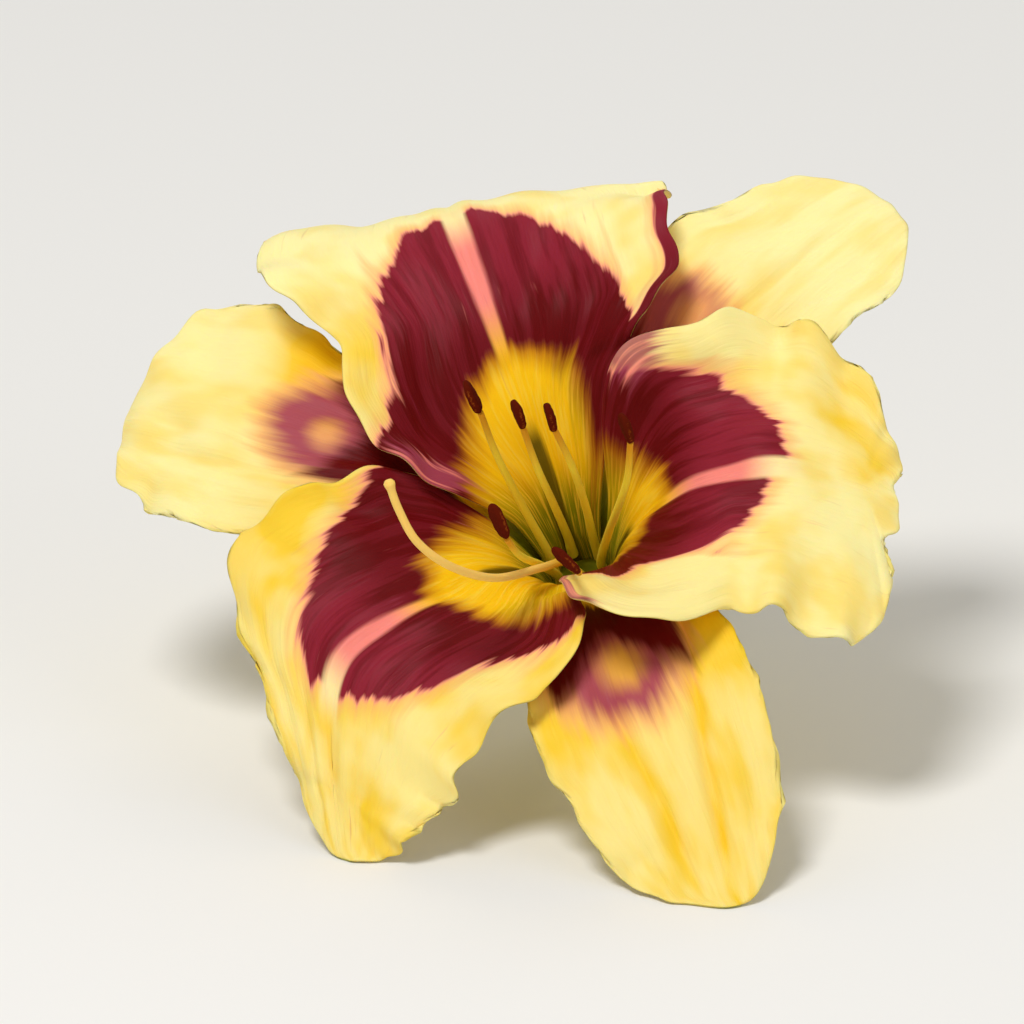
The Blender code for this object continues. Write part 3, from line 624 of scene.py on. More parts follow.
def add(tree, kind, inputs=None, **settings):
    """Adds a node, with its settings, and fills its inputs with values, or links them to sockets or nodes."""
    node = tree.nodes.new(kind)
    for name, value in settings.items():
        setattr(node, name, value)
    for name, value in (inputs or {}).items():
        if isinstance(value, bpy.types.Node):
            value = next(output for output in value.outputs if output.enabled)
        if isinstance(value, bpy.types.NodeSocket):
            tree.links.new(value, node.inputs[name])
        else:
            node.inputs[name].default_value = value
    return node


def new_material(name):
    material = bpy.data.materials.new(name)
    material.use_nodes = True
    material.node_tree.nodes.clear()
    return material, material.node_tree


def streaks(tree, path, across, along, detail):
    """Stripes that follow the veins, from -0.5 to 0.5; across and along are cycles in a millimetre."""
    place = add(tree, "ShaderNodeMapping", {"Vector": path, "Scale": (across, along, 1)})
    noise = add(tree, "ShaderNodeTexNoise", {
        "Vector": place, "Scale": 1.0, "Detail": detail, "Roughness": 0.6})
    return add(tree, "ShaderNodeMath", {0: noise, 1: 0.5}, operation="SUBTRACT")


def paint(tree, ground, colour, *steps, first=None, joined="MULTIPLY"):
    """Lays a colour over the ground by soft steps, each (value, where it is none, where it is full, most).

    The steps are multiplied, or added up, and go on from the first value if there is one.
    """
    cover = first
    for value, none, full, most in steps:
        step = add(tree, "ShaderNodeMapRange", {0: value, 1: none, 2: full, 4: most},
                   interpolation_type="SMOOTHSTEP")
        cover = step if cover is None else add(tree, "ShaderNodeMath", {0: cover, 1: step}, operation=joined)
    return add(tree, "ShaderNodeMix", {0: cover, 6: ground, 7: colour}, data_type="RGBA")


def blade_marks(tree):
    """What a blade's mesh says at each point, for its painting.

    The distances from the rim and off the midrib, the zone's three values, the place along and across the
    veins, whether it is the front, and how warm the yellow is, which includes painted shade in the folds.
    """
    blade, zone = (add(tree, "ShaderNodeSeparateXYZ",
                       {0: add(tree, "ShaderNodeAttribute", attribute_name=name).outputs["Vector"]})
                   for name in ("blade", "zone"))
    off_rib = add(tree, "ShaderNodeMath", {0: blade.outputs[1]}, operation="ABSOLUTE")
    path = add(tree, "ShaderNodeAttribute", attribute_name="veins").outputs["Vector"]
    front, warmth = (add(tree, "ShaderNodeAttribute", attribute_name=name).outputs["Fac"]
                     for name in ("front", "warmth"))
    return blade.outputs[0], off_rib, zone.outputs, path, front, warmth


def living_tissue(tree, colour, height, roughness, bump_depth):
    """Finish of petal tissue: soft satin skin, and light that carries through the thin blade."""
    bump = add(tree, "ShaderNodeBump", {"Height": height, "Distance": bump_depth * MM, "Strength": 1.0})
    shader = add(tree, "ShaderNodeBsdfPrincipled", {
        "Base Color": colour, "Roughness": roughness, "IOR": 1.4, "Specular IOR Level": 0.12,
        "Subsurface Weight": 0.3, "Subsurface Radius": (1.0, 0.6, 0.2), "Subsurface Scale": 0.8 * MM,
        "Normal": bump})
    add(tree, "ShaderNodeOutputMaterial", {"Surface": shader})


def petal_tissue(colours, sizes):
    """Fresh petal: satin cream with a velvety wine eye whose colour runs out along the veins."""
    material, tree = new_material("Fresh petal")
    from_rim, off_rib, zone, path, front, warmth = blade_marks(tree)
    near_gap, far_gap, share = zone
    vein = streaks(tree, path, 0.5 * MM / sizes.vein, 0.045, 3)
    fine = streaks(tree, path, 1.1 * MM / sizes.vein, 0.1, 2)
    mottle = streaks(tree, path, 0.11, 0.09, 2)

    # Yellow ground, deeper in soft patches and towards the throat, and deeper still as painted shade in the
    # folds.
    painted = paint(tree, colours.cream, colours.butter, (mottle, -0.1, 0.16, 0.5),
                    (from_rim, 56.0, 24.0, 0.2), first=warmth, joined="ADD")

    # The eye's edges, feathered along the veins, with a peach halo and a blush line outside the far one.
    near, far = (add(tree, "ShaderNodeMath", {0: vein, 1: feather, 2: gap}, operation="MULTIPLY_ADD")
                 for feather, gap in ((5.0, near_gap), (-5.0, far_gap)))
    inside = add(tree, "ShaderNodeMath", {0: near, 1: far}, operation="MINIMUM")
    painted = paint(tree, painted, colours.peach, (far, -2.8, 0.0, 0.75))
    painted = paint(tree, painted, colours.blush, (far, -0.7, 0.1, 0.8))

    # Throat: streaked gold, olive in its depth as its own green darkened by painted shade, painted shade in its
    # grooves between the petals, and browned by the veins that leave the eye.
    bowl = paint(tree, colours.gold, colours.olive_and_shade, (from_rim, 14.0, 4.0, 1.0))
    # Painted shade in the grooves off the midrib where the petals meet.
    groove_shade = add(tree, "ShaderNodeMath", {0: off_rib, 1: 0.35}, operation="MULTIPLY")
    groove_shade = add(tree, "ShaderNodeMath", {0: vein, 1: 2.0, 2: groove_shade}, operation="MULTIPLY_ADD")
    bowl = paint(tree, bowl, colours.olive_and_shade, (groove_shade, 1.6, 3.2, 0.7), (warmth, 0.6, 0.0, 1.0))
    bowl = paint(tree, bowl, colours.butter, (fine, -0.04, 0.12, 0.75))
    bowl = paint(tree, bowl, colours.russet, (near, -3.6, 0.8, 0.85))
    painted = paint(tree, painted, bowl, (near, 1.4, 0.4, 1.0))

    # The eye's wine, deepest by the throat as painted shade, and in its own streaks along the veins.
    wine = paint(tree, colours.wine, colours.deep_wine_and_shade, (share, 0.55, 0.0, 0.75), (vein, -0.06, 0.12, 0.55),
                 joined="ADD")
    painted = paint(tree, painted, wine, (near, -0.9, 1.1, 1.0), (far, -0.3, 0.5, 1.0))

    # Midrib: painted shade in its channel in the throat, then a stripe that turns from gold to blush and opens
    # into cream.
    width = add(tree, "ShaderNodeMapRange", {0: share, 1: 0.0, 2: 0.8, 3: 1.1, 4: 1.7})
    width = add(tree, "ShaderNodeMath", {0: vein, 1: 1.2, 2: width}, operation="MULTIPLY_ADD")
    within = add(tree, "ShaderNodeMath", {0: width, 1: off_rib}, operation="SUBTRACT")
    on_rib = (within, -0.35, 0.45, 1.0)
    painted = paint(tree, painted, colours.channel_shade, on_rib, (share, -0.4, -0.6, 0.95))
    stripe = paint(tree, colours.gold, colours.blush, (share, -0.1, 0.36, 1.0))
    stripe = paint(tree, stripe, colours.cream, (share, 0.68, 1.02, 0.9))
    painted = paint(tree, painted, stripe, on_rib, (share, -0.2, 0.05, 1.0), (share, 1.25, 0.98, 1.0))

    # Streaks of rose and blush on the margin where the eye runs out to it.
    hem = add(tree, "ShaderNodeAttribute", attribute_name="hem").outputs["Fac"]
    hem = add(tree, "ShaderNodeMath", {0: fine, 1: 1.5, 2: hem}, operation="MULTIPLY_ADD")
    streaked = paint(tree, colours.rose, colours.blush, (vein, -0.02, 0.1, 1.0))
    painted = paint(tree, painted, streaked, (hem, 0.2, 0.7, 0.85))

    # Outer side: duller yellow with a green-tinged midrib, and the eye showing faintly through.
    outside = paint(tree, colours.back, colours.leaf_tinge, (within, -1.6, 1.0, 0.75))
    outside = paint(tree, outside, colours.rose, (inside, -1.0, 2.0, 0.3))
    outside = paint(tree, outside, colours.tube, (from_rim, 18.0, -2.0, 0.8))
    skin = add(tree, "ShaderNodeMix", {0: front, 6: outside, 7: painted}, data_type="RGBA")
    height = add(tree, "ShaderNodeMix", {0: 0.4, 2: vein, 3: fine})
    living_tissue(tree, skin, height, 0.5, 0.35)
    return material


def sepal_tissue(colours, sizes):
    """Fresh sepal: smoother and yellower than a petal, with a soft rose patch low on its blade."""
    material, tree = new_material("Fresh sepal")
    from_rim, off_rib, zone, path, front, warmth = blade_marks(tree)
    patch_depth, spot_depth, past_wine_and_shade = zone
    vein = streaks(tree, path, 0.4 * MM / sizes.vein, 0.035, 3)
    mottle = streaks(tree, path, 0.12, 0.06, 2)
    patch, inner, spot, throat = (
        add(tree, "ShaderNodeMath", {0: vein, 1: feather, 2: value}, operation="MULTIPLY_ADD")
        for feather, value in ((0.6, patch_depth), (7.0, past_wine_and_shade), (0.9, spot_depth), (10.0, from_rim)))

    # Yellow ground, deeper in soft patches and towards the throat, where it turns to gold, and gold as painted
    # shade in the creases and beside the petals.
    painted = paint(tree, colours.cream, colours.butter, (mottle, -0.1, 0.2, 0.42),
                    (from_rim, 54.0, 30.0, 0.4), first=warmth, joined="ADD")
    golden_and_shade = add(tree, "ShaderNodeMath", {0: mottle, 1: warmth}, operation="ADD")
    painted = paint(tree, painted, colours.gold, (golden_and_shade, 0.6, 1.3, 0.95))

    # The patch: a peach rim, rose within it, wine towards the throat that is partly painted shade under the
    # petals, and a pale spot.
    painted = paint(tree, painted, colours.peach, (patch, -0.2, 0.15, 0.8))
    painted = paint(tree, painted, colours.rose, (patch, 0.0, 0.45, 0.95))
    painted = paint(tree, painted, colours.deep_wine_and_shade, (inner, 2.5, -1.5, 1.0))
    pale = paint(tree, colours.peach, colours.gold, (warmth, 0.1, 0.4, 0.7))
    painted = paint(tree, painted, pale, (spot, -0.4, 0.8, 0.8))

    # The claw, which shows between the petals' claws and is coloured like them, olive in its depth partly as
    # painted shade.
    bowl = paint(tree, colours.gold, colours.olive_and_shade, (from_rim, 15.0, 4.0, 1.0))
    painted = paint(tree, painted, bowl, (throat, 18.0, 14.5, 1.0))

    # Outer side: duller, green-tinged along the middle and at the foot.
    outside = paint(tree, colours.back, colours.leaf_tinge, (off_rib, 4.0, 0.3, 0.7))
    outside = paint(tree, outside, colours.tube, (from_rim, 18.0, -2.0, 0.8))
    skin = add(tree, "ShaderNodeMix", {0: front, 6: outside, 7: painted}, data_type="RGBA")
    living_tissue(tree, skin, vein, 0.48, 0.3)
    return material


def shaded_along(name, start_colour, end_colour, low, high, roughness, cut=None):
    """Plant skin whose colour changes along the piece, by its 'along' attribute, with a fine grain.

    cut: colour of the face at the very end of the piece, if it is cut.
    """
    material, tree = new_material(name)
    along = add(tree, "ShaderNodeAttribute", attribute_name="along").outputs["Fac"]
    place = add(tree, "ShaderNodeTexCoord").outputs["Object"]
    grain = add(tree, "ShaderNodeTexNoise", {
        "Vector": place, "Scale": 900.0, "Detail": 2.0, "Roughness": 0.5})
    colour = paint(tree, start_colour, end_colour, (along, low, high, 1.0))
    if cut:
        face = add(tree, "ShaderNodeMapRange", {0: along, 1: 0.9992, 2: 0.9995})
        colour = add(tree, "ShaderNodeMix", {0: face, 6: colour, 7: cut}, data_type="RGBA")
    living_tissue(tree, colour, grain, roughness, 0.06)
    return material


def velvet_anther(colours):
    """Anther: dark, dry, finely rough skin that splits along two slits, with pollen in them."""
    material, tree = new_material("Anther skin")
    place = add(tree, "ShaderNodeTexCoord").outputs["Object"]
    grain = add(tree, "ShaderNodeTexNoise", {
        "Vector": place, "Scale": 2500.0, "Detail": 2.0, "Roughness": 0.6})
    slit = add(tree, "ShaderNodeAttribute", attribute_name="slit").outputs["Fac"]
    dust = add(tree, "ShaderNodeMath", {0: slit, 1: grain}, operation="MULTIPLY")
    colour = paint(tree, colours.anther, colours.pollen, (dust, 0.42, 0.62, 0.6))
    bump = add(tree, "ShaderNodeBump", {"Height": grain, "Distance": 0.08 * MM, "Strength": 1.0})
    shader = add(tree, "ShaderNodeBsdfPrincipled", {
        "Base Color": colour, "Roughness": 0.9, "Specular IOR Level": 0.05, "Normal": bump})
    add(tree, "ShaderNodeOutputMaterial", {"Surface": shader})
    return material


def smooth_path(points, steps):
    """Catmull-Rom curve through the points."""
    p = np.array(points, float)
    p = np.vstack([2 * p[0] - p[1], p, 2 * p[-1] - p[-2]])
    out = []
    for i in range(1, len(p) - 2):
        for k in np.linspace(0, 1, steps, endpoint=False):
            a, b, c, d = p[i - 1:i + 3]
            square, cube = 2 * a - 5 * b + 4 * c - d, 3 * b - a - 3 * c + d
            out.append(0.5 * (2 * b + (c - a) * k + square * k**2 + cube * k**3))
    out.append(p[-2])
    return np.array(out)


def thread_tree():
    """Geometry nodes that grow a round thread along each path, as thick as the path's own radius."""
    tree = bpy.data.node_groups.new("Grow threads", "GeometryNodeTree")
    for name, kind in (("Paths", "Geometry"), ("Sides", "Int"), ("Skin", "Material")):
        tree.interface.new_socket(name, in_out="INPUT", socket_type="NodeSocket" + kind)
    tree.interface.new_socket("Threads", in_out="OUTPUT", socket_type="NodeSocketGeometry")
    given = add(tree, "NodeGroupInput")
    profile = add(tree, "GeometryNodeCurvePrimitiveCircle", {
        "Resolution": given.outputs["Sides"], "Radius": 1.0})
    run = add(tree, "GeometryNodeSplineParameter")
    marked = add(tree, "GeometryNodeStoreNamedAttribute", {
        "Geometry": given.outputs["Paths"], "Name": "along", "Value": run.outputs["Factor"]},
        data_type="FLOAT", domain="POINT")
    girth = add(tree, "GeometryNodeInputRadius")
    grown = add(tree, "GeometryNodeCurveToMesh", {
        "Curve": marked.outputs[0], "Profile Curve": profile.outputs[0], "Scale": girth.outputs[0],
        "Fill Caps": True})
    whole = add(tree, "GeometryNodeRealizeInstances", {"Geometry": grown.outputs[0]})
    skinned = add(tree, "GeometryNodeSetMaterial", {
        "Geometry": whole.outputs[0], "Material": given.outputs["Skin"]})
    shaded = add(tree, "GeometryNodeSetShadeSmooth", {"Geometry": skinned.outputs[0], "Shade Smooth": True})
    add(tree, "NodeGroupOutput", {"Threads": shaded.outputs[0]})
    return tree


def grow_threads(name, paths, sides, material, nodes):
    """One piece from several paths, each (points, radii) in the lying flower's millimetres."""
    curve = bpy.data.curves.new(name + " paths", "CURVE")
    curve.dimensions = "3D"
    for points, radii in paths:
        spline = curve.splines.new("POLY")
        spline.points.add(len(points) - 1)
        for point, place, radius in zip(spline.points, (np.asarray(points) + SHIFT) * MM, radii):
            point.co = (*place, 1)
            point.radius = radius * MM
    carrier = bpy.data.objects.new(name + " paths", curve)
    bpy.context.scene.collection.objects.link(carrier)
    tree = thread_tree()
    grower = carrier.modifiers.new("Grow threads", "NODES")
    grower.node_group = tree
    sockets = {item.name: item.identifier for item in tree.interface.items_tree if item.in_out == "INPUT"}
    grower[sockets["Sides"]] = sides
    grower[sockets["Skin"]] = material
    bpy.context.view_layer.update()
    evaluated = carrier.evaluated_get(bpy.context.evaluated_depsgraph_get())
    mesh = bpy.data.meshes.new_from_object(evaluated)
    bpy.data.objects.remove(carrier)
    mesh.name = name
    return new_piece(name, mesh, material, nodes)


def filament_path(stamen):
    """From inside the throat through the stamen's own points to its top."""
    bearing, low, middle, top = stamen[:4]
    turn = math.radians(bearing)
    root = np.array([FILAMENT_ROOT_RADIUS * math.cos(turn), FILAMENT_ROOT_RADIUS * math.sin(turn), 0.0])
    return smooth_path([root + (0, 0, -2), root, root + (0, 0, 3), low, middle, top], 12)


def build_anther(path, points_to, number):
    """Two long lobes side by side, each with a slit, bowed and twisted, joined to the stalk's tip."""
    direction = np.array(points_to, float)
    direction /= np.linalg.norm(direction)
    leave = (path[-1] - path[-2]) / np.linalg.norm(path[-1] - path[-2])
    start = path[-1] + leave * 0.05
    rows, sides = 48, 32
    along = np.linspace(0, 1, rows + 1)
    centre = start + np.outer(along * ANTHER_LENGTH, direction)
    centre = centre + np.outer((along - along**2) * ANTHER_BOW, (-1, 0, 0))
    side = np.cross(direction, (0.0, 1.0, 0.0))
    side /= np.linalg.norm(side)
    other = np.cross(direction, side)
    draw = np.random.default_rng(number)
    facing = draw.uniform(-0.5, 0.5)
    swell = np.sqrt(np.maximum(1 - np.abs(2 * along - 1) ** 3.2, 0.01))
    turn = np.linspace(0, 2 * math.pi, sides, endpoint=False)
    lobes = 1 - 0.30 * np.exp(-((np.abs(np.sin(turn)) - 1) / 0.22) ** 2)
    lobes = lobes - 0.07 * np.exp(-((np.abs(np.cos(turn)) - 1) / 0.05) ** 2)
    points = []
    for k, (middle, width) in enumerate(zip(centre, swell)):
        spin = facing + 0.35 * along[k]
        reach = width * lobes * (1 + 0.03 * np.sin(along[k] * 23 + turn * 3))
        x = ANTHER_WIDTH / 2 * reach * np.cos(turn)
        y = ANTHER_DEPTH / 2 * reach * np.sin(turn)
        x, y = x * math.cos(spin) - y * math.sin(spin), x * math.sin(spin) + y * math.cos(spin)
        points.append(middle + np.outer(x, side) + np.outer(y, other))
    points = np.concatenate(points + [centre[:1], centre[-1:]])
    slit = np.exp(-((np.abs(np.cos(turn)) - 1) / 0.08) ** 2)
    split = smooth(along, 0.06, 0.2) * (1 - smooth(along, 0.8, 0.94))
    slit = np.append(np.outer(split, slit).ravel(), (0, 0))
    faces = ring_faces(rows + 1, sides)
    foot, head = len(points) - 2, len(points) - 1
    for k in range(sides):
        faces.append(((k + 1) % sides, k, foot))
        faces.append((rows * sides + k, rows * sides + (k + 1) % sides, head))
    return points, faces, slit


def tube_profile(z):
    """Outer radius of the tube at the height z below the rim."""
    return through(z, [(-TUBE_LENGTH, TUBE_FOOT_RADIUS), (-TUBE_LENGTH + 5, TUBE_RADIUS),
                       (-FLARE_LENGTH - 4, TUBE_RADIUS), (-FLARE_LENGTH, TUBE_RADIUS + 0.5), (-5, 5.3),
                       (-2.2, 6.7), (0, RIM_OUTER_RADIUS)])


def build_tube():
    """The fused tube: outer wall with six faint ribs, a thin lip up the tepals' backs, and the inner wall."""
    sides = 144
    turn = np.linspace(0, 2 * math.pi, sides, endpoint=False)
    heights = np.concatenate([np.linspace(-TUBE_LENGTH, 0, 50), np.linspace(0, LIP_LENGTH, 10)[1:]])
    over_sepal = smooth(np.cos(3 * (turn - math.radians(60))), -0.35, 0.55)
    rings = []
    for z in heights:
        flat = ribbed(tube_profile(min(z, 0)), turn)
        sepal_back, petal_back = (rim + LIP_OFFSET + max(z, 0) * math.tan(math.radians(opening))
                                  for rim, opening in ((SEPAL_RIM_RADIUS, 25), (PETAL_RIM_RADIUS, 16)))
        hugging = petal_back + (sepal_back - petal_back) * over_sepal
        share = smooth(z, -7, -0.5)
        rings.append(ring(flat * (1 - share) + hugging * share, turn, z))
    for z in np.linspace(LIP_LENGTH, -TUBE_LENGTH, 40):
        wall = LIP_WALL + (TUBE_WALL - LIP_WALL) * smooth(-z, 0, 6)
        outer = rings[int(np.argmin(np.abs(heights - z)))]
        rings.append(ring(np.hypot(outer[:, 0], outer[:, 1]) - wall, turn, z))
    points = np.concatenate(rings)
    return lay(points - (0, 0, SEAT_GAP * 0.2)), ring_faces(len(rings), sides, closed=True), points[:, 2]


def stem_path():
    """Down the flower's axis, then bending to lie along the ground behind the bloom."""
    away = -REST[:, 2]
    start = away * (TUBE_LENGTH + SEAT_GAP + 0.3)
    heading = np.array([away[0], away[1], 0.0])
    heading /= np.linalg.norm(heading)
    down = math.asin(-away[2])
    level = GROUND + STEM_RADIUS
    straight = (start[2] - level - STEM_BEND_RADIUS * (1 - math.cos(down))) / math.sin(down)
    points = [start + away * k for k in np.linspace(0, max(straight, 0.6), 3)]
    corner = points[-1]
    bend = (corner[2] - level) / (1 - math.cos(down))
    for k in np.linspace(0, down, 8)[1:]:
        points.append(corner + heading * bend * (math.sin(down) - math.sin(down - k))
                      - np.array([0, 0, 1.0]) * bend * (math.cos(down - k) - math.cos(down)))
    sideways = np.array([heading[1], -heading[0], 0.0])
    flat = points[-1]
    for k in np.linspace(0, 1, 9)[1:]:
        run = k * STEM_LYING_LENGTH
        points.append(flat + heading * run + sideways * run**2 / (2 * STEM_SIDE_CURVE))
    return np.array(points)


def build_bract():
    """A small pointed scale on the stem's upper side, which hugs it at its foot and has a free tip."""
    path = stem_path()
    foot, ahead = path[13], path[13] - path[15]
    ahead /= np.linalg.norm(ahead)
    up = np.array([0.0, 0.0, 1.0])
    sideways = np.cross(up, ahead)
    rows, columns = 60, 32
    k, across = np.meshgrid(np.linspace(0, 1, rows + 1), np.linspace(-1, 1, columns + 1), indexing="ij")
    width = BRACT_HALF_WIDTH * through(k, [(0, 0.75), (0.25, 0.9), (0.6, 0.72), (0.9, 0.27), (1, 0.03)])
    half = 0.3 * (0.35 + 0.65 * np.sqrt(1 - across**2)) * (1 - 0.5 * k)
    clear = STEM_RADIUS + 0.25 + 0.05 * np.cos(across * 5 * math.pi) * smooth(k, 0, 0.2)
    turn = across * width / clear
    out = sideways * np.sin(turn)[..., None] + up * np.cos(turn)[..., None]
    rise = 3.4 * k**2 - 0.3 * (1 - smooth(k, 0, 0.1))
    middle = foot + ahead * (BRACT_LENGTH * k)[..., None] + out * clear[..., None] + up * rise[..., None]
    front, back = middle + out * half[..., None], middle - out * half[..., None]
    return (np.concatenate([front.reshape(-1, 3), back.reshape(-1, 3)]), grid_shell_faces(rows, columns),
            np.tile(k.ravel(), 2))


class MESH_OT_daylily_petals(bpy.types.Operator):
    """Builds the three broad petals with their eye zone"""
    bl_idname = "mesh.daylily_petals"
    bl_label = "Petals"

    def execute(self, context):
        sizes, colours = context.scene.daylily_sizes, context.scene.daylily_colours
        material = petal_tissue(colours, sizes)
        for name, tepal in PETALS.items():
            mesh = new_mesh(name, *build_blade(tepal, sizes, 170, 130, True))
            new_piece(name + "_skin", mesh, material, [name])
        return {"FINISHED"}


class MESH_OT_daylily_sepals(bpy.types.Operator):
    """Builds the three narrower sepals behind the petals"""
    bl_idname = "mesh.daylily_sepals"
    bl_label = "Sepals"

    def execute(self, context):
        sizes, colours = context.scene.daylily_sizes, context.scene.daylily_colours
        material = sepal_tissue(colours, sizes)
        for name, tepal in SEPALS.items():
            mesh = new_mesh(name, *build_blade(tepal, sizes, 150, 80, False))
            new_piece(name + "_skin", mesh, material, [name])
        return {"FINISHED"}


class MESH_OT_daylily_tube(bpy.types.Operator):
    """Builds the fused tube behind the bloom"""
    bl_idname = "mesh.daylily_tube"
    bl_label = "Perianth tube"

    def execute(self, context):
        colours = context.scene.daylily_colours
        points, faces, marks = build_tube()
        material = shaded_along("Tube skin", colours.tube, colours.back, -6, 18, 0.5)
        new_piece("perianth_tube_skin", new_mesh("perianth_tube", points, faces, {"along": marks}), material,
                  ["perianth_tube"])
        return {"FINISHED"}


class MESH_OT_daylily_stamens(bpy.types.Operator):
    """Grows the six filaments and sets their anthers"""
    bl_idname = "mesh.daylily_stamens"
    bl_label = "Stamens"

    def execute(self, context):
        sizes, colours = context.scene.daylily_sizes, context.scene.daylily_colours
        paths = [filament_path(stamen) for stamen in STAMENS]
        skin = shaded_along("Filament skin", colours.filament, colours.filament_tip, 0.72, 1.0, 0.4)
        grown = [(lay(path), np.linspace(FILAMENT_FOOT_RADIUS, FILAMENT_TOP_RADIUS, len(path)))
                 for path in paths]
        grow_threads("filaments", grown, sizes.thread_sides, skin,
                     [f"filament_{n}" for n in range(1, 7)])
        velvet = velvet_anther(colours)
        for number, (path, stamen) in enumerate(zip(paths, STAMENS), 1):
            points, faces, slit = build_anther(path, stamen[4], number)
            mesh = new_mesh(f"anther_{number}", lay(points), faces, {"slit": slit})
            new_piece(f"anther_{number}_skin", mesh, velvet, [f"anther_{number}"])
        return {"FINISHED"}


class MESH_OT_daylily_pistil(bpy.types.Operator):
    """Grows the pistil: ovary, long style and stigma"""
    bl_idname = "mesh.daylily_pistil"
    bl_label = "Pistil"

    def execute(self, context):
        sizes, colours = context.scene.daylily_sizes, context.scene.daylily_colours
        foot = -TUBE_LENGTH - SEAT_GAP + 0.1
        ovary = [(0, 0, foot + OVARY_LENGTH * k) for k in np.linspace(0, 1, 16)]
        swell = through(np.linspace(0, 1, 16), [(0, 0.7), (0.35, 1), (0.7, 0.8), (1, 0.4)])
        style = smooth_path([(0, 0, foot + OVARY_LENGTH + 1.2)] + STYLE, 12)
        run = np.linspace(0, 1, len(style))
        radii = STYLE_RADIUS * through(run, [(0, 0.95), (0.6, 0.85), (0.96, 0.85), (0.99, 1.2), (1, 0.8)])
        skin = shaded_along("Style skin", colours.gold, colours.style, 0.25, 0.6, 0.4)
        path, radii = lay(np.vstack([ovary, style])), np.concatenate([OVARY_RADIUS * swell, radii])
        grow_threads("pistil_skin", [(path, radii)], sizes.thread_sides, skin, ["pistil"])
        return {"FINISHED"}


class MESH_OT_daylily_stem(bpy.types.Operator):
    """Grows the cut stem and its bract"""
    bl_idname = "mesh.daylily_stem"
    bl_label = "Stem and bract"

    def execute(self, context):
        colours = context.scene.daylily_colours
        path = smooth_path(stem_path(), 8)
        # The stem's top closes up to the tube's end.
        path[0] += REST[:, 2] * (SEAT_GAP + 0.32)
        travelled = np.append(0, np.cumsum(np.linalg.norm(np.diff(path, axis=0), axis=1)))
        radii = through(travelled, [(0, RECEPTACLE_RADIUS), (1.5, 3.0), (4, PEDICEL_RADIUS + 0.2),
                                    (8, PEDICEL_RADIUS), (14, PEDICEL_RADIUS + 0.1), (18, STEM_RADIUS),
                                    (travelled[-1], STEM_RADIUS)])
        # Almost flat rings close the cut end, so that its colour begins at the face's rim.
        ahead = (path[-1] - path[-2]) / np.linalg.norm(path[-1] - path[-2])
        path = np.vstack([path, path[-1] + np.outer((0.02, 0.035, 0.05), ahead)])
        radii = np.append(radii, STEM_RADIUS * np.array([0.96, 0.5, 0.08]))
        skin = shaded_along("Stem skin", colours.tube, colours.stem, 0.0, 0.25, 0.42, colours.cut)
        grow_threads("stem_skin", [(path, radii)], 40, skin, ["stem"])
        points, faces, marks = build_bract()
        leafy = shaded_along("Bract skin", colours.stem, colours.dry, 0.2, 1.0, 0.6)
        new_piece("bract_skin", new_mesh("bract", points, faces, {"along": marks}), leafy, ["bract"])
        return {"FINISHED"}


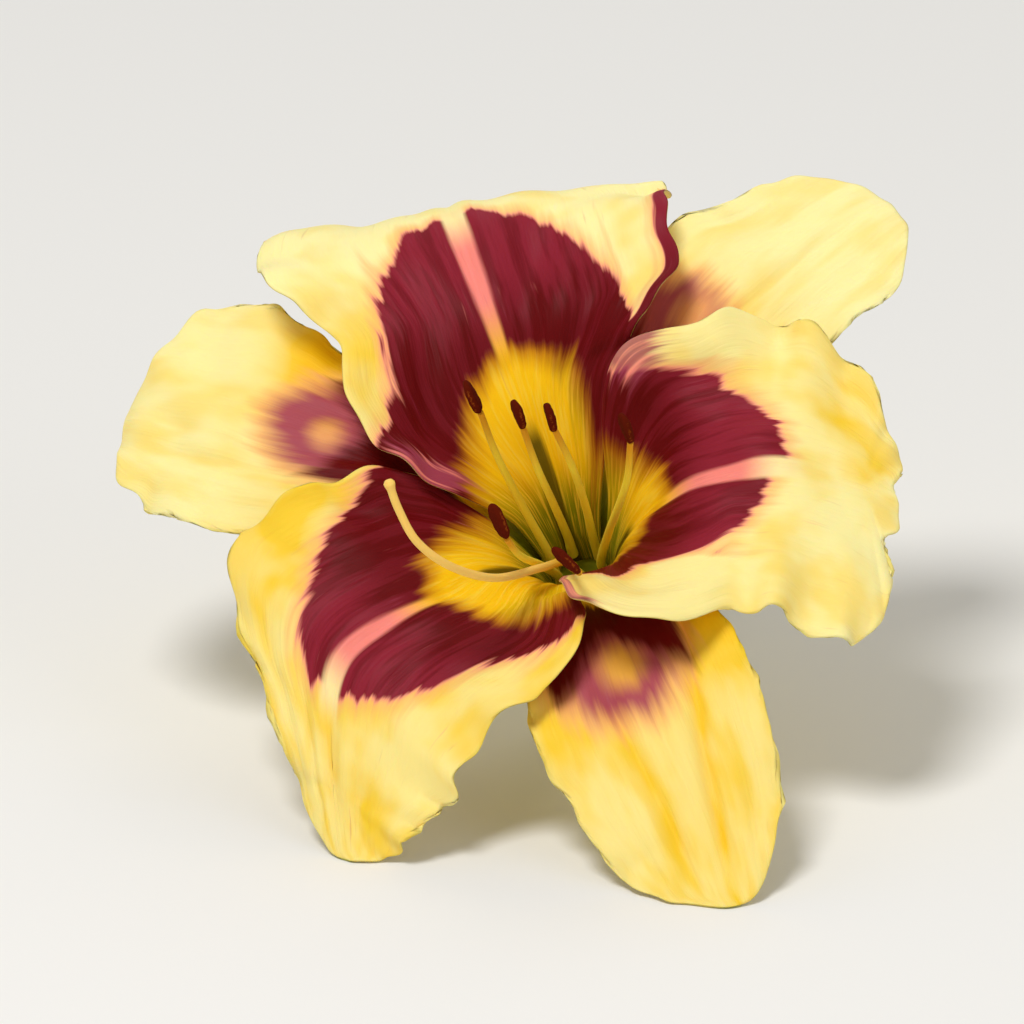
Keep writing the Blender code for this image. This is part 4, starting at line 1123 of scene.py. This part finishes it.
class SCENE_OT_daylily_stage(bpy.types.Operator):
    """Sets the pale floor, the soft lights and the camera"""
    bl_idname = "scene.daylily_stage"
    bl_label = "Stage"

    def execute(self, context):
        sizes, colours = context.scene.daylily_sizes, context.scene.daylily_colours
        floor_mesh = bpy.data.meshes.new("floor")
        reach = 4.0
        corners = [(-reach, -reach, 0), (reach, -reach, 0), (reach, reach, 0), (-reach, reach, 0)]
        floor_mesh.from_pydata(corners, [], [(0, 1, 2, 3)])
        material, tree = new_material("Matt floor")
        shader = add(tree, "ShaderNodeBsdfPrincipled", {"Base Color": colours.floor, "Roughness": 0.9})
        add(tree, "ShaderNodeOutputMaterial", {"Surface": shader.outputs[0]})
        floor_mesh.materials.append(material)
        floor = bpy.data.objects.new("floor", floor_mesh)
        context.scene.collection.objects.link(floor)
        floor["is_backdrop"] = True

        low, high = (Vector(corner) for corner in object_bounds())
        middle = (low + high) / 2
        context.scene.view_settings.view_transform = "Standard"
        lights = (("key", (-0.35, -0.55, 1.2), 0.45, 11.5), ("fill", (0.9, -0.9, 0.6), 0.9, 2.2),
                  ("back", (0.2, 0.9, 0.9), 0.7, 2.0))
        for name, place, size, watts in lights:
            light = bpy.data.lights.new(name, "AREA")
            light.shape, light.size, light.energy = "DISK", size, watts
            lamp = bpy.data.objects.new(name, light)
            lamp.location = middle + Vector(place)
            lamp.rotation_euler = (-Vector(place)).to_track_quat("-Z", "Y").to_euler()
            context.scene.collection.objects.link(lamp)
        world = bpy.data.worlds.new("Soft room")
        world.use_nodes = True
        world.node_tree.nodes["Background"].inputs[0].default_value = linear("#F4F4F2")
        world.node_tree.nodes["Background"].inputs[1].default_value = 0.4
        context.scene.world = world

        camera = bpy.data.cameras.new("camera")
        camera.lens, camera.sensor_width = sizes.lens, 36.0
        camera.clip_start, camera.clip_end = 0.05, 20
        eye = bpy.data.objects.new("camera", camera)
        context.scene.collection.objects.link(eye)
        up = sizes.view_elevation
        toward = Vector((0, -math.cos(up), math.sin(up)))
        bloom_share = 0.78
        distance = (high.x - low.x) / bloom_share * sizes.lens / camera.sensor_width
        lifted = Vector((0, math.sin(up), math.cos(up)))
        heights = [(Vector((0, y, z)) - middle).dot(lifted) for y in (low.y, high.y) for z in (low.z, high.z)]
        aim = middle + lifted * (max(heights) + min(heights)) / 2
        eye.location = aim + toward * distance
        eye.rotation_euler = (-toward).to_track_quat("-Z", "Y").to_euler()
        context.scene.camera = eye
        return {"FINISHED"}


class VIEW3D_PT_daylily(bpy.types.Panel):
    bl_label = "Daylily"
    bl_idname = "VIEW3D_PT_daylily"
    bl_space_type = "VIEW_3D"
    bl_region_type = "UI"
    bl_category = "Daylily"

    def draw(self, context):
        for operator in OPERATORS:
            self.layout.operator(operator.bl_idname)
        for group in (context.scene.daylily_sizes, context.scene.daylily_colours):
            box = self.layout.box()
            for name in group.bl_rna.properties.keys():
                if name not in ("rna_type", "name"):
                    box.prop(group, name)


OPERATORS = (MESH_OT_daylily_petals, MESH_OT_daylily_sepals, MESH_OT_daylily_tube, MESH_OT_daylily_stamens,
             MESH_OT_daylily_pistil, MESH_OT_daylily_stem, SCENE_OT_daylily_stage)
CLASSES = (DaylilyColours, DaylilySizes, *OPERATORS, VIEW3D_PT_daylily)


def register():
    for cls in CLASSES:
        bpy.utils.register_class(cls)
    bpy.types.Scene.daylily_colours = PointerProperty(type=DaylilyColours)
    bpy.types.Scene.daylily_sizes = PointerProperty(type=DaylilySizes)


def unregister():
    del bpy.types.Scene.daylily_sizes
    del bpy.types.Scene.daylily_colours
    for cls in reversed(CLASSES):
        bpy.utils.unregister_class(cls)


def main():
    register()
    bpy.ops.mesh.daylily_petals()
    bpy.ops.mesh.daylily_sepals()
    bpy.ops.mesh.daylily_tube()
    bpy.ops.mesh.daylily_stamens()
    bpy.ops.mesh.daylily_pistil()
    bpy.ops.mesh.daylily_stem()
    bpy.ops.scene.daylily_stage()


if __name__ == "__main__":
    main()
